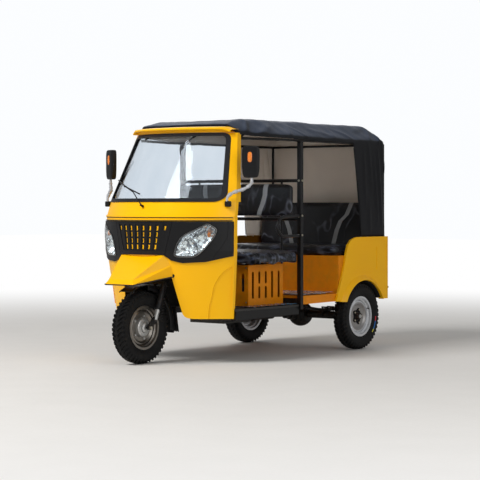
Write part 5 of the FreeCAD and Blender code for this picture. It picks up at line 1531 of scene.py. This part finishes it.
def make_grille_vanes():
    """A dark vane in each cell of the grille, which leaves a narrow crescent of the yellow panel. The vanes
    stand for the grille's black fins, and their wider cover in the middle two rows is painted shade.
    """
    grids = []
    pitch = (GRILLE_TOP - GRILLE_BOTTOM) / GRILLE_ROWS
    for row in range(GRILLE_ROWS):
        low = GRILLE_BOTTOM + pitch * row + 0.003
        height = low + np.linspace(0, 1, 7) * (pitch - 0.008)
        share = (height - GRILLE_BOTTOM) / (GRILLE_TOP - GRILLE_BOTTOM)
        # painted shade: the vanes cover more of the gap in the middle two rows to darken them
        open_part = (0.88, 0.72, 0.72, 0.86)[row]
        for column in range(GRILLE_GAPS):
            if column in (0, GRILLE_GAPS - 1) and row < GRILLE_ROWS - 1:
                continue
            middle = (column - (GRILLE_GAPS - 1) / 2) * (PITCH_BOTTOM + (PITCH_TOP - PITCH_BOTTOM) * share)
            bow = 0.006 * np.sin(np.linspace(0.2, math.pi, 7))
            right = middle - 0.0135
            left = right + 0.027 * (1 - open_part) + bow
            outline = [(right, 0.0012), (left, 0.0012), (left, 0.0030), (right, 0.0045)]
            ring = np.stack([on_panel(x, height, proud) for x, proud in outline], 1)
            grids.append(placed(with_ends(ring, 0)))
    piece(joined("grille_vanes", grids, False, True, 40), "black_plastic")


def make_springs():
    """Coils round the rear shock absorbers and clips round the leaf springs."""
    for label, side in SIDES:
        turns = np.linspace(0, 1, 160)
        coil = np.stack([side * 0.39 + 0.027 * np.cos(turns * 44), WHEELBASE + 0.027 * np.sin(turns * 44),
                         0.318 + turns * 0.118], -1)
        strip(f"shock_spring_{label}", coil, 0.0042, "black_steel")
    grids = []
    for station in (WHEELBASE - 0.04, WHEELBASE + 0.04):
        for x in (0.252, 0.308):
            grids.append(stub_points((x, station, 0.262), (x, station, 0.338), 0.005, 12))
        grids.append(stub_points((0.246, station, 0.338), (0.314, station, 0.338), 0.006, 12))
    piece(joined("spring_clips", on_both_sides(grids), False, True, 40), "under_steel")


FILM_WALL, WRAP_WALL = 0.0004, 0.0006


def film_grid(name, outline, waves, look="floor_film"):
    """A loose piece of film: a patch between two edge lines, rippled by crossing waves."""
    near, far = (spline(line, 60) for line in outline)
    share = np.linspace(0, 1, 24)[:, None, None]
    points = near[None] * (1 - share) + far[None] * share
    u, v = np.meshgrid(np.linspace(0, 1, 60), np.linspace(0, 1, 24))
    points[..., 2] += sum(a * np.abs(np.sin(u * p + v * q + r)) for a, p, q, r in waves)
    made = piece(grid_mesh(name, placed(points), False, False, 80), look)
    walled(made, FILM_WALL)
    return made


WRAP_REACH = 0.596
WRAP_LOW = 0.748
WRAP_ROWS, WRAP_COLUMNS = 31, 220


def make_seat_wrap():
    """Baggy film round the driver's cushion: rings from its top, out past its edge, down and back under.

    Each ring is a U in plan, open at the back, along a spline; waves run along the hanging part.
    """
    low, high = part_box("driver_cushion")
    half, front, rear = high.x, low.y - FRONT_AXLE_Y, high.y - FRONT_AXLE_Y - 0.01
    # columns: half width, station of the front, height, share of the waves
    rings = ((half - 0.080, front + 0.080, high.z - 0.001, 0.1),
             (half - 0.014, front + 0.014, high.z - 0.004, 0.4),
             (0.560, front - 0.008, high.z - 0.016, 0.7), (0.588, front - 0.013, high.z - 0.034, 1.0),
             (WRAP_REACH, front - 0.015, (high.z + low.z) / 2, 1.0), (0.586, front - 0.013, WRAP_LOW, 1.0),
             (half + 0.004, front - 0.004, WRAP_LOW + 0.006, 0.3))
    rows = []
    for wide, ahead, height, _ in rings:
        left = [(wide, rear, height), (wide, (rear + ahead) / 2, height), (wide, ahead + 0.07, height),
                (wide - 0.02, ahead + 0.015, height), (wide - 0.08, ahead, height), (wide / 2, ahead, height)]
        rows.append(spline(left + [(-x, s, h) for x, s, h in reversed(left)], WRAP_COLUMNS))
    points = spline(np.array(rows).reshape(len(rings), -1), WRAP_ROWS).reshape(WRAP_ROWS, WRAP_COLUMNS, 3)
    u = np.linspace(0, 1, WRAP_COLUMNS)[None, :]
    v = np.linspace(0, 1, WRAP_ROWS)[:, None]
    share = np.interp(v, np.linspace(0, 1, len(rings)), [ring[3] for ring in rings])
    wave = 0.005 * np.sin(u * 61 + v * 5) + 0.004 * np.sin(u * 113 - v * 9) + 0.003 * np.sin(u * 29 + v * 17)
    points[..., 2] += wave * share * (0.4 + ramp(v, 0.3, 0.8))
    points[..., 0] -= np.sign(points[..., 0]) * np.abs(wave) * share * 0.6
    made = piece(grid_mesh("driver_seat_wrap", placed(points), False, False, 80), "wrapped_vinyl")
    walled(made, WRAP_WALL)


def make_films():
    """Packing film left on the floors and, with one corner hanging down, on the driver's seat."""
    waves = ((0.004, 21, 7, 0.3), (0.003, 47, 19, 1.1), (0.002, 90, 31, 2.0))
    made = film_grid("passenger_floor_film", (
        [(-0.42, 1.27, 0.478), (-0.40, 1.40, 0.478), (-0.43, 1.54, 0.478), (-0.40, 1.67, 0.478)],
        [(0.596, 1.26, 0.479), (0.602, 1.38, 0.480), (0.603, 1.54, 0.481), (0.598, 1.69, 0.485)]), waves)
    made = film_grid("driver_floor_film", (
        [(0.46, 0.62, 0.412), (0.47, 0.80, 0.412), (0.47, 1.0, 0.412), (0.48, 1.17, 0.412)],
        [(0.595, 0.58, 0.412), (0.598, 0.78, 0.412), (0.597, 0.98, 0.413), (0.594, 1.19, 0.414)]), waves,
        "sill_film")
    make_seat_wrap()
    edge = [(0.30, 0.695, 0.842), (0.40, 0.683, 0.835), (0.47, 0.680, 0.828), (0.494, 0.72, 0.835)]
    tip = [(0.34, 0.683, 0.79), (0.42, 0.679, 0.752), (0.462, 0.678, 0.735), (0.4955, 0.70, 0.775)]
    made = film_grid("seat_film_corner", (edge, tip), ((0.003, 30, 5, 0.2),), "packing_film")


def make_canopy_trim():
    """Piping along the front edge of each side flap."""
    for label, side in SIDES:
        line = [(0.6035, 1.966, 1.66), (0.6035, 2.005, 1.45), (0.6035, 2.055, 1.22), (0.6035, 2.08, 0.935)]
        strip(f"flap_piping_{label}", sided(spline(line, 30), side), 0.0028, "canvas")


make_body_trim()
make_visor()
make_splash_wall()
make_mudguard_sides()
make_arch_liners()
make_rear_trim()
make_handlebar_trim()
make_fork_trim()
make_wheel_trim()
make_grille_vanes()
make_springs()
make_films()
make_canopy_trim()
